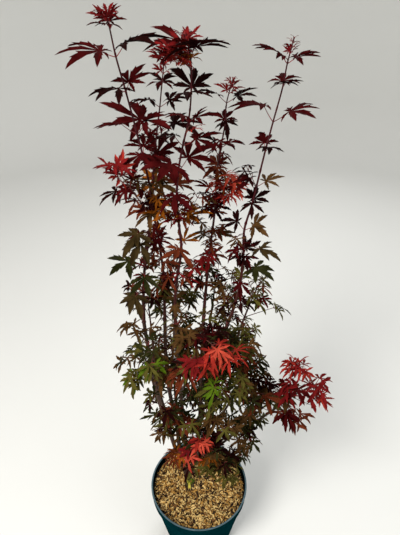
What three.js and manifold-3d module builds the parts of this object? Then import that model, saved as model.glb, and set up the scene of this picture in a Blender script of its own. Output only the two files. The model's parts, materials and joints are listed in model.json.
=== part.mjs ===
// A potted japanese maple: a tapered plastic pot filled with bark mix, a short leaning trunk
// that forks close to the mix, five tall leaders, a skirt of low boughs, and their foliage.
// Millimetres, +Z up, the front is -Y. The origin is the middle of the pot's flat underside.
import * as THREE from 'three';
import { mergeVertices } from 'three/addons/utils/BufferGeometryUtils.js';
import Module from 'manifold-3d';

const wasm = await Module();
wasm.setup();

// Driving dimensions of the pot and its filling
const POT_HEIGHT = 240;
const POT_LIP_RADIUS = 146;
const POT_LIP_HEIGHT = 5;
const POT_LIP_WIDTH = 4;
const POT_LIP_ROUNDING = 1;
const POT_BAND_HEIGHT = 34;
const POT_BAND_RADIUS = 143.5;
const POT_BODY_TOP_RADIUS = 139.5;
const POT_FOOT_RADIUS = 105;
const POT_WALL = 2.6;
const POT_FLOOR = 3;
const POT_FOOT_BEVEL = 2;
const POT_SIDES = 28;
const DRAIN_HOLES = 4;
const DRAIN_HOLE_RADIUS = 7;
const DRAIN_HOLE_SIDES = 10;
const DRAIN_CIRCLE_RADIUS = 72;
const MIX_TOP = 218;
const MIX_EDGE_DROP = 4;
const MIX_SHOULDER = 16;
const MIX_CLEARANCE = 0.4;

// Driving dimensions of the wood
const GAP = 0.3;
const CLEAR_FROM = 0.27;
const TRUNK_PATH = [[-28, 5], [-28.6, 4.8], [-29.2, 4.6], [-30, 4.2], [-31, 3.4], [-31.8, 2.4], [-32, 1.6]];
const TRUNK_RISE = [0, 5, 12, 26, 46, 66, 82];
const TRUNK_RADII = [15, 12, 10.2, 9.2, 8.6, 8.2, 7.8];
const TRUNK_SIDES = 9;
const LEADER_FOOT_RADIUS = 6.4;
const LEADER_TIP_RADIUS = 4.2;
const LEADER_TAPER = 0.7;
const LEADER_SIDES = 6;
const LEADER_RINGS = 6;
const SHOOT_TIP_RADIUS = 1.5;
const SHOOT_SIDES = 4;
const BOUGH_FOOT_RADIUS = 3.8;
const BOUGH_TIP_RADIUS = 3;
const BOUGH_BEND_OUT = 0.55;
const BOUGH_BEND_UP = 0.4;
const BOUGH_SIDES = 4;
const BOUGH_RINGS = 3;
const TWIG_RADIUS = 1.5;
const TWIG_TIP_RADIUS = 1.2;
const TWIG_SIDES = 3;
const SLIVER = 0.02;

// Driving dimensions of a leaf: the angle and the length of each lobe, as a share of the middle one
const LOBES = [[-106, 0.55], [-52, 0.88], [0, 1], [52, 0.88], [106, 0.55]];
const NOTCH_RADIUS = 0.21;
const BLADE_FOOT = 0.08;
const BLADE_FOOT_WIDTH = 0.056;
const BLADE_THICKNESS = 0.045;
const BLADE_DROOP = 0.22;

// Leaves by their place: the length of the middle lobe and of the stalk, and the droop in degrees
const TALL_LEAF = { lobe: 62, petiole: 34, droop: 6 };
const MIDDLE_LEAF = { lobe: 54, petiole: 26, droop: 16 };
const LOW_LEAF = { lobe: 49, petiole: 18, droop: 26 };
const DROOP_SPREAD = 15;
const ROLL_SPREAD = 18;
const LEAF_LEAN = 52;
const LEAN_SPREAD = 8;
const LEAF_TRIALS = [[0, 1], [16, 1], [-16, 1], [30, 0.9], [-30, 0.9], [0, 0.75], [45, 0.8], [-45, 0.8]];

// How far a stalk is sunk in past its twig's middle line, and how close to its root a piece may
// touch the rest of its own mass
const STALK_SINK = 0.4;
const END_SINK = 2;
const END_CLEARANCE = 3.2;
const nearRoot = (radius) => radius * 2 + 2;

// The tall shoots, joint by joint from where the leader ends: a pair of leaves stands at every joint.
// Each starts at its parent limb, and `headings` gives the heading of each pair in degrees, 0 to the right.
const SHOOTS = [
  {
    name: 'left',
    parent: 'trunk',
    from: 252,
    leader: [[-58, -6, 370], [-88, -12, 540], [-112, -13, 720]],
    joints: [
      [-125, -10, 882], [-121, -13, 947], [-115, -17, 1016], [-101, -22, 1096], [-91, -26, 1158],
      [-88, -29, 1206], [-97, -35, 1277], [-104, -38, 1318], [-116, -45, 1388], [-126, -50, 1440],
      [-131, -55, 1482], [-135, -58, 1500],
    ],
    headings: [0, 80, -10, 90, 5, 80, 0, 65, 8, 90, 20],
    side: { joint: 4, points: [[-104, -46, 1192], [-118, -74, 1236], [-132, -102, 1278]] },
  },
  {
    name: 'centre',
    parent: 'trunk',
    from: null,
    leader: [[-36, -6, 420], [-42, -16, 560], [-48, -24, 720]],
    joints: [
      [-51, -30, 875], [-51, -34, 949], [-45, -38, 1017], [-34, -43, 1092], [-37, -48, 1156],
      [-39, -52, 1209], [-35, -56, 1258], [-26, -60, 1305], [-16, -64, 1346], [-11, -69, 1389],
      [-11, -75, 1444], [-20, -78, 1474],
    ],
    headings: [90, 0, 80, -10, 90, 60, 0, 20, 90, -60, 10],
  },
  {
    name: 'right',
    parent: 'trunk',
    from: 258,
    leader: [[-2, 4, 380], [26, 2, 540], [46, -2, 700]],
    joints: [
      [61, -5, 854], [78, -5, 916], [90, -5, 984], [93, -5, 1053], [92, -5, 1116], [103, -5, 1168],
      [110, -5, 1209], [121, -5, 1276], [131, -5, 1330], [142, -5, 1387], [146, -5, 1424], [153, -5, 1462],
    ],
    headings: [0, 80, 70, -20, 80, 10, 90, -15, 90, 0, 80],
  },
  {
    name: 'back_left',
    parent: 'leader_left',
    from: 350,
    leader: [[-62, 18, 480], [-78, 30, 600], [-84, 34, 730]],
    joints: [
      [-81, 30, 855], [-80, 35, 923], [-80, 40, 991], [-86, 45, 1058], [-94, 51, 1125], [-93, 56, 1177],
      [-89, 61, 1232], [-81, 67, 1288], [-73, 73, 1337], [-68, 77, 1374], [-60, 83, 1428],
    ],
    headings: [80, 0, 90, 20, 90, 70, -10, 20, 90, 0],
  },
  {
    name: 'back_right',
    parent: 'leader_right',
    from: 345,
    leader: [[2, 24, 470], [6, 32, 600], [8, 32, 740]],
    joints: [
      [12, 30, 877], [17, 39, 945], [22, 48, 1007], [28, 57, 1064], [34, 66, 1117], [36, 73, 1160],
      [38, 81, 1206], [45, 90, 1253], [52, 98, 1295], [55, 107, 1337], [66, 114, 1379],
    ],
    headings: [0, 90, 10, 80, 0, 90, 10, 90, 15, 60],
  },
];
const SHOOT_SPACE = 165;
const MIDDLE_LEAVES_BELOW = 1150;
const HEADING_SPREAD = 8;
const TOP_SHRINK = 0.62;

// The low masses: the middle and radius of the space that each keeps to, and where its bough leaves
const LOW_MASSES = [
  ['upper_left', [-112, 0, 885], 100, 'leader_left', 640],
  ['upper_back_left', [-60, 122, 835], 100, 'leader_back_left', 600],
  ['upper_back', [42, 128, 885], 100, 'leader_back_right', 660],
  ['upper_right', [124, 50, 890], 104, 'leader_right', 640],
  ['upper_front_right', [94, -84, 845], 104, 'leader_right', 560],
  ['upper_front', [-4, -118, 905], 104, 'leader_centre', 660],
  ['upper_front_left', [-94, -98, 835], 100, 'leader_left', 540],
  ['middle_left', [-130, 4, 740], 98, 'leader_left', 470],
  ['middle_back_left', [-74, 104, 690], 100, 'leader_back_left', 450],
  ['middle_back_right', [72, 108, 740], 104, 'leader_back_right', 500],
  ['middle_right', [124, -6, 720], 98, 'leader_right', 440],
  ['middle_front_right', [52, -122, 740], 104, 'leader_centre', 520],
  ['middle_front_left', [-64, -118, 690], 102, 'leader_centre', 470],
  ['lower_left', [-96, 26, 560], 92, 'leader_left', 350],
  ['lower_back', [4, 92, 560], 98, 'leader_back_right', 400],
  ['lower_front', [-4, -100, 560], 96, 'leader_centre', 350],
  ['lower_right', [100, -40, 560], 98, 'leader_right', 320],
  ['lowest_right', [60, -52, 436], 92, 'trunk', 282],
  ['reach_right', [184, -40, 650], 98, 'leader_right', 350],
  ['reach_far_right', [246, -70, 720], 94, 'leader_right', 400],
];

// The rule of growth in a low mass, lengths as shares of its radius: the stem runs from before its
// middle to past it, and two pairs of twigs fork from it
const LOW_STEM_START = 0.62;
const LOW_STEM_END = 0.42;
const LOW_STEM_BEND = 0.4;
const LOW_STEM_TIP_RADIUS = 1.9;
const LOW_STEM_RINGS = 3;
const LOW_TWIG_STEPS = [0.28, 0.66];
const LOW_TWIG_LENGTHS = [0.56, 0.46];
const LOW_TWIG_LENGTH_SPREAD = 0.06;
const LOW_TWIG_FORWARD = 0.55;
const LOW_TWIG_ASIDE = 0.83;
const LOW_TWIG_TURNS = [48, 138];
const LOW_TWIG_TURN_SPREAD = 20;
const TWIG_PAIR_AT = 0.55;
const TWIG_TRIALS = [0, 30, -30, 60, -60];

// Colours of the materials
const POT_PLASTIC = 0x2d6066;
const BARK_CHIPS = 0x8c6a3d;
const BARK = 0x5a4434;
const LOW_FOLIAGE = 0x3c3020;
const TALL_FOLIAGE = 0x3a1013;

// Small tools for points and directions
const UP = new THREE.Vector3(0, 0, 1);
const point = (values) => new THREE.Vector3(...values);
const degrees = THREE.MathUtils.degToRad;
const between = (a, b, share) => a.clone().lerp(b, share);
const along = (start, direction, distance) => start.clone().addScaledVector(direction, distance);
const heading = (angle) => new THREE.Vector3(Math.cos(angle), Math.sin(angle), 0);

// The two directions square to a tangent, the first as level as it can be
function squareTo(tangent) {
  const level = UP.clone().cross(tangent);
  if (level.lengthSq() < 0.01) level.set(1, 0, 0);
  level.normalize();
  return [level, tangent.clone().cross(level)];
}

// A repeatable stream of numbers from 0 to 1
function seeded(seed) {
  let state = (seed * 2654435761) >>> 0;
  return () => {
    state = (Math.imul(state, 1664525) + 1013904223) >>> 0;
    return state / 4294967296;
  };
}

function taper(from, to, count, power = 1) {
  return Array.from({ length: count }, (_, i) => from + (to - from) * (i / (count - 1)) ** power);
}

// A closed geometry as a solid for cutting and joining, and back again
function solidOf(geometry) {
  geometry.deleteAttribute('normal');
  geometry.deleteAttribute('uv');
  const merged = mergeVertices(geometry, 1e-5);
  return new wasm.Manifold(new wasm.Mesh({
    numProp: 3,
    vertProperties: new Float32Array(merged.attributes.position.array),
    triVerts: new Uint32Array(merged.index.array),
  }));
}

function geometryOf(solid) {
  const mesh = solid.getMesh();
  const geometry = new THREE.BufferGeometry();
  geometry.setAttribute('position', new THREE.BufferAttribute(new Float32Array(mesh.vertProperties), 3));
  geometry.setIndex(new THREE.BufferAttribute(new Uint32Array(mesh.triVerts), 1));
  geometry.computeVertexNormals();
  return geometry;
}

// The largest body of a solid, without loose scraps or sealed hollows
function largestBody(solid) {
  return solid.decompose().reduce((best, body) => (body.volume() > best.volume() ? body : best));
}

// What is in place so far, so that a new twig or leaf can be kept clear of it
const placed = [];

function boxesMeet(a, b) {
  return [0, 1, 2].every((i) => a.min[i] - GAP <= b.max[i] && b.min[i] - GAP <= a.max[i]);
}

function place(owner, solid) {
  placed.push({ owner, solid, box: solid.boundingBox() });
}

// The first thing in place that a solid touches, of those whose owner counts
function touching(solid, counts) {
  const box = solid.boundingBox();
  return placed.find((other) => counts(other.owner) && boxesMeet(box, other.box)
    && solid.minGap(other.solid, GAP) < CLEAR_FROM);
}

// A tapering limb: a cylinder whose rings are carried along the points, each square to its direction.
// `start` and `end` fix the direction of its two ends, and `extra` makes it thicker and longer.
function limb({ points, radii, sides, start = null, end = null, extra = 0 }) {
  const last = points.length - 1;
  const tangents = points.map((p, i) => {
    if (i === 0 && start) return start.clone();
    if (i === last && end) return end.clone();
    return points[Math.min(i + 1, last)].clone().sub(points[Math.max(i - 1, 0)]).normalize();
  });
  const frames = [];
  let side = new THREE.Vector3(1, 0, 0);
  if (Math.abs(tangents[0].x) > 0.9) side = new THREE.Vector3(0, 1, 0);
  tangents.forEach((tangent, i) => {
    side = side.clone().addScaledVector(tangent, -side.dot(tangent)).normalize();
    frames[i] = [side, tangent.clone().cross(side)];
  });
  const shape = new THREE.CylinderGeometry(1, 1, 1, sides, last);
  const position = shape.attributes.position;
  const inflate = extra / Math.cos(Math.PI / sides);
  for (let i = 0; i < position.count; i += 1) {
    const ring = Math.round((position.getY(i) + 0.5) * last);
    const angle = Math.atan2(-position.getZ(i), position.getX(i));
    const reach = Math.hypot(position.getX(i), position.getZ(i)) * (radii[ring] + inflate);
    const [u, v] = frames[ring];
    const p = along(points[ring], u, reach * Math.cos(angle)).addScaledVector(v, reach * Math.sin(angle));
    if (ring === 0) p.addScaledVector(tangents[0], -extra);
    if (ring === last) p.addScaledVector(tangents[last], extra);
    position.setXYZ(i, p.x, p.y, p.z);
  }
  return solidOf(shape);
}

// The wood that other limbs grow from: its points, its radii and its solids
const limbs = {};

// A new limb is cut clear of every limb that stands already, and keeps its largest body
function addLimb(name, form) {
  let solid = limb(form);
  const box = solid.boundingBox();
  Object.values(limbs).forEach((other) => {
    if (boxesMeet(box, other.box)) solid = solid.subtract(other.inflated);
  });
  solid = largestBody(solid);
  const inflated = limb({ ...form, extra: GAP });
  limbs[name] = { ...form, solid, inflated, box: inflated.boundingBox() };
  place(name, solid);
  return limbs[name];
}

// The point on a limb's middle line at a height
function pointAtHeight({ points }, height) {
  const i = Math.max(1, points.findIndex((p) => p.z >= height));
  const [a, b] = [points[i - 1], points[i]];
  return between(a, b, (height - a.z) / (b.z - a.z));
}

// One palmate leaf with its stalk: a star of five lobes that droop away from a raised middle.
// The stalk narrows from the blade's foot to `root`, which lies inside the twig.
function leafSolid({ root, foot, axis, normal, lobe }) {
  const side = normal.clone().cross(axis).normalize();
  const on = (angle, reach) => along(foot, axis, reach * Math.cos(angle) * lobe)
    .addScaledVector(side, reach * Math.sin(angle) * lobe)
    .addScaledVector(normal, -BLADE_DROOP * reach * reach * lobe);
  const heel = (way) => along(foot, axis, -BLADE_FOOT * lobe)
    .addScaledVector(side, way * BLADE_FOOT_WIDTH * lobe);
  const outline = [heel(-1)];
  LOBES.forEach(([angle, reach], i) => {
    if (i > 0) outline.push(on(degrees((angle + LOBES[i - 1][0]) / 2), NOTCH_RADIUS));
    outline.push(on(degrees(angle), reach));
  });
  outline.push(heel(1));
  const below = along(foot, normal, -BLADE_THICKNESS * lobe);

  const last = outline.length - 1;
  const [belowId, rootId] = [last + 1, last + 2];
  const faces = [[0, last, rootId], [belowId, 0, rootId], [last, belowId, rootId]];
  for (let i = 0; i < last; i += 1) faces.push([belowId, i + 1, i]);
  // Above, each lobe is one face, and the five middle faces fan out from the right of the foot
  for (let i = 0; i < last; i += 2) faces.push([i, i + 1, Math.min(i + 2, last)]);
  for (let i = 2; i + 2 <= last; i += 2) faces.push([0, i, i + 2]);
  const shape = new THREE.BufferGeometry();
  shape.setFromPoints([...outline, below, root]);
  shape.setIndex(faces.flat());
  return solidOf(shape);
}

// The seat of a leaf on a twig: a stalk along `direction`, then a blade that flattens and droops
function leafForm(root, direction, kind, droop, roll, scale) {
  const foot = along(root, direction, kind.petiole * scale);
  const flat = new THREE.Vector3(direction.x, direction.y, 0);
  const outward = flat.lengthSq() > 0.01 ? flat.normalize() : new THREE.Vector3(1, 0, 0);
  const axis = outward.multiplyScalar(Math.cos(droop)).addScaledVector(UP, -Math.sin(droop)).normalize();
  const normal = UP.clone().addScaledVector(axis, -axis.z).normalize().applyAxisAngle(axis, roll);
  return { root, foot, axis, normal, lobe: kind.lobe * scale };
}

// A mass of foliage: pieces that fuse to one body round its own stem, inside its own space
class Mass {
  constructor(name, seed) {
    this.name = name;
    this.random = seeded(seed);
    this.pieces = [];
  }

  jitter(amount) {
    return (this.random() * 2 - 1) * amount;
  }

  // The stem has to be clear of everything; it carries all that follows
  addStem(form) {
    const solid = limb(form);
    const other = touching(solid, () => true);
    if (other) throw new Error(`the stem of ${this.name} touches ${other.owner}`);
    this.pieces.push(solid);
    place(this.name, solid);
  }

  // Whether a piece keeps to the space, clear of the others and, past its root, of its own mass
  fits(whole, free) {
    return this.inSpace(whole.boundingBox())
      && !touching(whole, (owner) => owner !== this.name)
      && !touching(free, (owner) => owner === this.name);
  }

  keep(whole, free) {
    this.pieces.push(whole);
    place(this.name, free);
  }

  // A straight twig from a point inside its parent; returns its far end or null
  addTwig(root, direction, length, clearance) {
    const end = along(root, direction, length);
    const form = { radii: [TWIG_RADIUS, TWIG_TIP_RADIUS], sides: TWIG_SIDES };
    const whole = limb({ ...form, points: [root, end] });
    const free = limb({ ...form, points: [along(root, direction, clearance), end] });
    if (!this.fits(whole, free)) return null;
    this.keep(whole, free);
    return end;
  }

  // A leaf is turned a little, drooped or made smaller until it fits, or else it is skipped
  addLeaf(root, direction, kind, clearance) {
    const droop = degrees(kind.droop + this.jitter(DROOP_SPREAD));
    const roll = degrees(this.jitter(ROLL_SPREAD));
    LEAF_TRIALS.some(([turn, scale]) => {
      const turned = direction.clone().applyAxisAngle(UP, degrees(turn));
      const form = leafForm(root, turned, kind, droop + degrees(turn / 3), roll, scale);
      const whole = leafSolid(form);
      const free = leafSolid({ ...form, root: along(root, turned, clearance) });
      if (!this.fits(whole, free)) return false;
      this.keep(whole, free);
      return true;
    });
  }

  // A pair of leaves that stand opposite each other at an angle to their twig
  addPair(root, tangent, side, kind, clearance) {
    [1, -1].forEach((way) => {
      const lean = degrees(LEAF_LEAN + this.jitter(LEAN_SPREAD));
      const direction = tangent.clone().multiplyScalar(Math.cos(lean))
        .addScaledVector(side, way * Math.sin(lean)).normalize();
      this.addLeaf(along(root, direction, -STALK_SINK), direction, kind, clearance);
    });
  }

  // A leaf that goes straight on from the end of its twig
  addEndLeaf(end, direction, kind) {
    this.addLeaf(along(end, direction, -END_SINK), direction, kind, END_CLEARANCE);
  }

  // One closed body: the pieces fused, with a loose scrap or a sealed hollow dropped
  body() {
    return largestBody(wasm.Manifold.union(this.pieces).simplify(SLIVER));
  }
}

// A tall shoot: one stem that bends a little at each joint, where a pair of leaves stands across it
class TallMass extends Mass {
  constructor(shoot, seed) {
    super(`foliage_${shoot.name}`, seed);
    this.shoot = shoot;
    this.joints = shoot.joints.map(point);
    const [first, second] = this.joints;
    const start = second.clone().sub(first).normalize();
    this.radii = taper(LEADER_TIP_RADIUS, SHOOT_TIP_RADIUS, this.joints.length);
    const points = [along(first, start, GAP), ...this.joints.slice(1)];
    this.addStem({ points, radii: this.radii, sides: SHOOT_SIDES, start });
  }

  // The space is an upright column round the stem
  inSpace({ min, max }) {
    return this.joints.some((p) => (
      Math.hypot(p.x - (min[0] + max[0]) / 2, p.y - (min[1] + max[1]) / 2) < SHOOT_SPACE));
  }

  // A thin shoot leaves the stem at one of its joints, with pairs of leaves along it and a last leaf
  fork() {
    if (!this.shoot.side) return;
    const points = [this.joints[this.shoot.side.joint], ...this.shoot.side.points.map(point)];
    const form = { radii: taper(TWIG_RADIUS, TWIG_TIP_RADIUS, points.length), sides: TWIG_SIDES };
    const whole = limb({ ...form, points });
    const free = limb({ ...form, points: [between(points[0], points[1], 0.4), ...points.slice(1)] });
    if (!this.fits(whole, free)) throw new Error(`the side shoot of ${this.name} is not clear`);
    this.keep(whole, free);
    points.slice(1).forEach((end, i) => {
      const tangent = end.clone().sub(points[i]).normalize();
      const [level, raised] = squareTo(tangent);
      const isTip = i + 2 === points.length;
      const root = isTip ? along(end, tangent, -END_SINK) : end;
      this.addPair(root, tangent, i % 2 === 0 ? level : raised, MIDDLE_LEAF, nearRoot(TWIG_RADIUS));
      if (isTip) this.addEndLeaf(end, tangent, MIDDLE_LEAF);
    });
  }

  grow() {
    const top = this.joints.length - 1;
    this.joints.slice(1).forEach((joint, i) => {
      const k = i + 1;
      const tangent = this.joints[Math.min(k + 1, top)].clone().sub(this.joints[k - 1]).normalize();
      const level = heading(degrees(this.shoot.headings[i] + this.jitter(HEADING_SPREAD)));
      const side = level.addScaledVector(tangent, -level.dot(tangent)).normalize();
      const root = k === top ? along(joint, tangent, -STALK_SINK) : joint;
      const shrink = k === top ? TOP_SHRINK : 1;
      const base = joint.z < MIDDLE_LEAVES_BELOW ? MIDDLE_LEAF : TALL_LEAF;
      const kind = { ...base, lobe: base.lobe * shrink, petiole: base.petiole * shrink };
      this.addPair(root, tangent, side, kind, nearRoot(this.radii[k]));
    });
  }
}

// A low mass: a stem from its bough's tip through the middle of its space, pairs of leafy twigs
// that fork from it, and a leaf at its end
class LowMass extends Mass {
  constructor([name, centre, radius], bough, seed) {
    super(`foliage_${name}`, seed);
    this.radius = radius;
    this.middle = point(centre);
    const tip = bough.points.at(-1);
    const outward = this.middle.clone().sub(tip).normalize();
    const start = along(tip, bough.end, GAP);
    this.finish = along(this.middle, outward, radius * LOW_STEM_END);
    const bend = along(start, bough.end, start.distanceTo(this.finish) * LOW_STEM_BEND);
    this.curve = new THREE.QuadraticBezierCurve3(start, bend, this.finish);
    const points = this.curve.getPoints(LOW_STEM_RINGS);
    const radii = taper(BOUGH_TIP_RADIUS, LOW_STEM_TIP_RADIUS, points.length);
    this.addStem({ points, radii, sides: SHOOT_SIDES, start: bough.end });
  }

  // The space is a ball
  inSpace({ min, max }) {
    const middle = between(point(min), point(max), 0.5);
    return this.middle.distanceTo(middle) < this.radius;
  }

  // A twig with a pair of leaves along it and one at its end, turned about its stem until it fits
  addLeafyTwig(root, wanted, stemDirection, length) {
    const clearance = nearRoot(BOUGH_TIP_RADIUS);
    TWIG_TRIALS.some((turn) => {
      const direction = wanted.clone().applyAxisAngle(stemDirection, degrees(turn));
      const end = this.addTwig(root, direction, length, clearance);
      if (!end) return false;
      const level = direction.clone().cross(UP).normalize();
      this.addPair(between(root, end, TWIG_PAIR_AT), direction, level, LOW_LEAF, clearance);
      this.addEndLeaf(end, direction, LOW_LEAF);
      return true;
    });
  }

  grow() {
    LOW_TWIG_STEPS.forEach((step, k) => {
      const root = this.curve.getPoint(step);
      const forward = this.curve.getTangent(step);
      const [level, raised] = squareTo(forward);
      const turn = degrees(LOW_TWIG_TURNS[k] + this.jitter(LOW_TWIG_TURN_SPREAD));
      const side = level.multiplyScalar(Math.cos(turn)).addScaledVector(raised, Math.sin(turn));
      [1, -1].forEach((way) => {
        const direction = forward.clone().multiplyScalar(LOW_TWIG_FORWARD)
          .addScaledVector(side, way * LOW_TWIG_ASIDE).normalize();
        const length = this.radius * (LOW_TWIG_LENGTHS[k] + this.jitter(LOW_TWIG_LENGTH_SPREAD));
        this.addLeafyTwig(root, direction, forward, length);
      });
    });
    this.addEndLeaf(this.finish, this.curve.getTangent(1), LOW_LEAF);
  }
}

// The inside of the pot from its floor to its lip, kept an offset away from the wall
function potInnerProfile(offset) {
  const bandBottom = POT_HEIGHT - POT_BAND_HEIGHT;
  const step = POT_BAND_RADIUS - POT_BODY_TOP_RADIUS;
  return [
    [POT_FOOT_RADIUS - POT_WALL - offset, POT_FLOOR + offset],
    [POT_BODY_TOP_RADIUS - POT_WALL - offset, bandBottom - step],
    [POT_BAND_RADIUS - POT_WALL - offset, bandBottom],
  ];
}

function turned(profile) {
  return solidOf(new THREE.LatheGeometry(profile.map(([r, z]) => new THREE.Vector2(r, z)), POT_SIDES)
    .rotateX(Math.PI / 2));
}

// The pot: one wall turned round the axis, with a lip, a band below it and drain holes in the floor
function potSolid() {
  const bandBottom = POT_HEIGHT - POT_BAND_HEIGHT;
  const lipBottom = POT_HEIGHT - POT_LIP_HEIGHT;
  let solid = turned([
    [0, 0],
    [POT_FOOT_RADIUS - POT_FOOT_BEVEL, 0],
    [POT_FOOT_RADIUS, POT_FOOT_BEVEL],
    [POT_BODY_TOP_RADIUS, bandBottom],
    [POT_BAND_RADIUS, bandBottom],
    [POT_BAND_RADIUS, lipBottom],
    [POT_LIP_RADIUS, lipBottom],
    [POT_LIP_RADIUS, POT_HEIGHT - POT_LIP_ROUNDING],
    [POT_LIP_RADIUS - POT_LIP_ROUNDING, POT_HEIGHT],
    [POT_LIP_RADIUS - POT_LIP_WIDTH, POT_HEIGHT],
    [POT_BAND_RADIUS - POT_WALL, lipBottom],
    ...potInnerProfile(0).reverse(),
    [0, POT_FLOOR],
  ]);
  for (let i = 0; i < DRAIN_HOLES; i += 1) {
    const middle = heading((i / DRAIN_HOLES) * 2 * Math.PI).multiplyScalar(DRAIN_CIRCLE_RADIUS);
    const radius = DRAIN_HOLE_RADIUS;
    const hole = new THREE.CylinderGeometry(radius, radius, POT_FLOOR * 4, DRAIN_HOLE_SIDES)
      .rotateX(Math.PI / 2)
      .translate(middle.x, middle.y, 0);
    solid = solid.subtract(solidOf(hole));
  }
  return solid;
}

// The bark mix fills the pot to below its lip, level where the trunk stands and lower at the edge
function mixSolid() {
  const inner = potInnerProfile(MIX_CLEARANCE);
  const [topRadius] = inner.at(-1);
  return turned([
    [0, POT_FLOOR + GAP],
    ...inner,
    [topRadius, MIX_TOP - MIX_EDGE_DROP],
    [topRadius - MIX_SHOULDER, MIX_TOP],
    [0, MIX_TOP],
  ]);
}

// The trunk stands on the mix with a flat cut, flares at its foot and leans a little
function addTrunk() {
  const points = TRUNK_PATH.map(([x, y], i) => new THREE.Vector3(x, y, MIX_TOP + GAP + TRUNK_RISE[i]));
  addLimb('trunk', { points, radii: TRUNK_RADII, sides: TRUNK_SIDES, start: UP });
}

// A leader runs from its parent to the first joint of its shoot, and the shoot's stem goes on from there
function addLeader(shoot) {
  const parent = limbs[shoot.parent];
  const isTop = shoot.from === null;
  const foot = isTop ? along(parent.points.at(-1), UP, GAP) : pointAtHeight(parent, shoot.from);
  const [first, second] = shoot.joints.map(point);
  const waypoints = [foot, ...shoot.leader.map(point), first, second];
  const curve = new THREE.CatmullRomCurve3(waypoints, false, 'catmullrom', 0.5);
  const share = (waypoints.length - 2) / (waypoints.length - 1);
  const count = LEADER_RINGS + 1;
  const points = Array.from({ length: count }, (_, i) => curve.getPoint((i / LEADER_RINGS) * share));
  const radii = taper(LEADER_FOOT_RADIUS, LEADER_TIP_RADIUS, points.length, LEADER_TAPER);
  const end = second.sub(first).normalize();
  addLimb(`leader_${shoot.name}`, { points, radii, sides: LEADER_SIDES, start: isTop ? UP : null, end });
}

// A low bough leaves its parent outwards and curves upwards into its mass
function addBough([name, centre, radius, parentName, from]) {
  const middle = point(centre);
  const foot = pointAtHeight(limbs[parentName], from);
  const direction = middle.clone().sub(foot).normalize();
  const tip = along(middle, direction, -radius * LOW_STEM_START);
  const bend = between(foot, tip, BOUGH_BEND_OUT).setZ(foot.z + (tip.z - foot.z) * BOUGH_BEND_UP);
  const curve = new THREE.QuadraticBezierCurve3(foot, bend, tip);
  const points = curve.getPoints(BOUGH_RINGS);
  const radii = taper(BOUGH_FOOT_RADIUS, BOUGH_TIP_RADIUS, points.length);
  return addLimb(`bough_${name}`, { points, radii, sides: BOUGH_SIDES, end: curve.getTangent(1) });
}

// The plant in its pot, piece by piece: the wood first, then every stem, then the leaves
const plant = new THREE.Group();

function addMesh(name, solid, color, roughness) {
  const material = new THREE.MeshStandardMaterial({ color, roughness, metalness: 0 });
  const mesh = new THREE.Mesh(geometryOf(solid), material);
  mesh.name = name;
  plant.add(mesh);
}

const pot = potSolid();
const mix = mixSolid();
place('pot', pot);
place('bark_mix', mix);
addTrunk();
SHOOTS.forEach(addLeader);
const boughs = LOW_MASSES.map(addBough);
const tallMasses = SHOOTS.map((shoot, i) => new TallMass(shoot, 11 + i));
const lowMasses = LOW_MASSES.map((row, i) => new LowMass(row, boughs[i], 101 + i));
tallMasses.forEach((mass) => mass.fork());
[...tallMasses, ...lowMasses].forEach((mass) => mass.grow());

addMesh('pot', pot, POT_PLASTIC, 0.45);
addMesh('bark_mix', mix, BARK_CHIPS, 0.95);
Object.entries(limbs).forEach(([name, { solid }]) => addMesh(name, solid, BARK, 0.85));
tallMasses.forEach((mass) => addMesh(mass.name, mass.body(), TALL_FOLIAGE, 0.6));
lowMasses.forEach((mass) => addMesh(mass.name, mass.body(), LOW_FOLIAGE, 0.6));

export default plant;
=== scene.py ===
"""A young red-leaved maple in a nursery pot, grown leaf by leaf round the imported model.

Metres, +Z up, the front is -Y, and the origin is the middle of the pot's flat underside. The
tables of places are in millimetres, as on a drawing, and MM turns them into metres.
"""
import json
import math
from collections import defaultdict, namedtuple

import bpy
import numpy as np
from bpy.props import FloatProperty, FloatVectorProperty, IntProperty, PointerProperty
from bpy.types import Operator, Panel, PropertyGroup
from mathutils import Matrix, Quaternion, Vector

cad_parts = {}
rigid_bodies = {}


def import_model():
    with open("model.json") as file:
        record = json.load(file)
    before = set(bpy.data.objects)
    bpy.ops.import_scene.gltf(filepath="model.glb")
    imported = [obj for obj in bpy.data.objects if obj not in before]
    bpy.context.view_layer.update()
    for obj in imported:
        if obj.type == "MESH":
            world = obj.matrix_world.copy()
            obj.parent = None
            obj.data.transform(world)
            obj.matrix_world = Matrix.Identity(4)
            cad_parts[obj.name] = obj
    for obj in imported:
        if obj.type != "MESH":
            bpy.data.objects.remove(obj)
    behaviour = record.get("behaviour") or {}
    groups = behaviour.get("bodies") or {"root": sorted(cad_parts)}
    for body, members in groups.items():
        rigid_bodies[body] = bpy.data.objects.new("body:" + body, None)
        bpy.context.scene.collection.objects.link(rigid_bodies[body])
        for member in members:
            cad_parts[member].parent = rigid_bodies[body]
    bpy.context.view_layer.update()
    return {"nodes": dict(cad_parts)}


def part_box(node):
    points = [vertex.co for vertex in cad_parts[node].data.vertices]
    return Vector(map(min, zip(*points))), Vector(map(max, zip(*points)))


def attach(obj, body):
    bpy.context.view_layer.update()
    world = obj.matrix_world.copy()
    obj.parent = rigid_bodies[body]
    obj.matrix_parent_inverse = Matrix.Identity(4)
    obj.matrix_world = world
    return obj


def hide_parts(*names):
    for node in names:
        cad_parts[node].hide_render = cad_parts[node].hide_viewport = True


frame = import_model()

bl_info = {
    "name": "Potted Maple",
    "version": (1, 0, 0),
    "blender": (4, 5, 0),
    "location": "3D View > Sidebar > Maple",
    "description": "Builds a young red-leaved maple in its pot",
    "category": "Add Mesh",
}

MM = 0.001
UP = Vector((0, 0, 1))

# A direction whose level share is less than this counts as upright
NEARLY_UPRIGHT = 0.1

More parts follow.
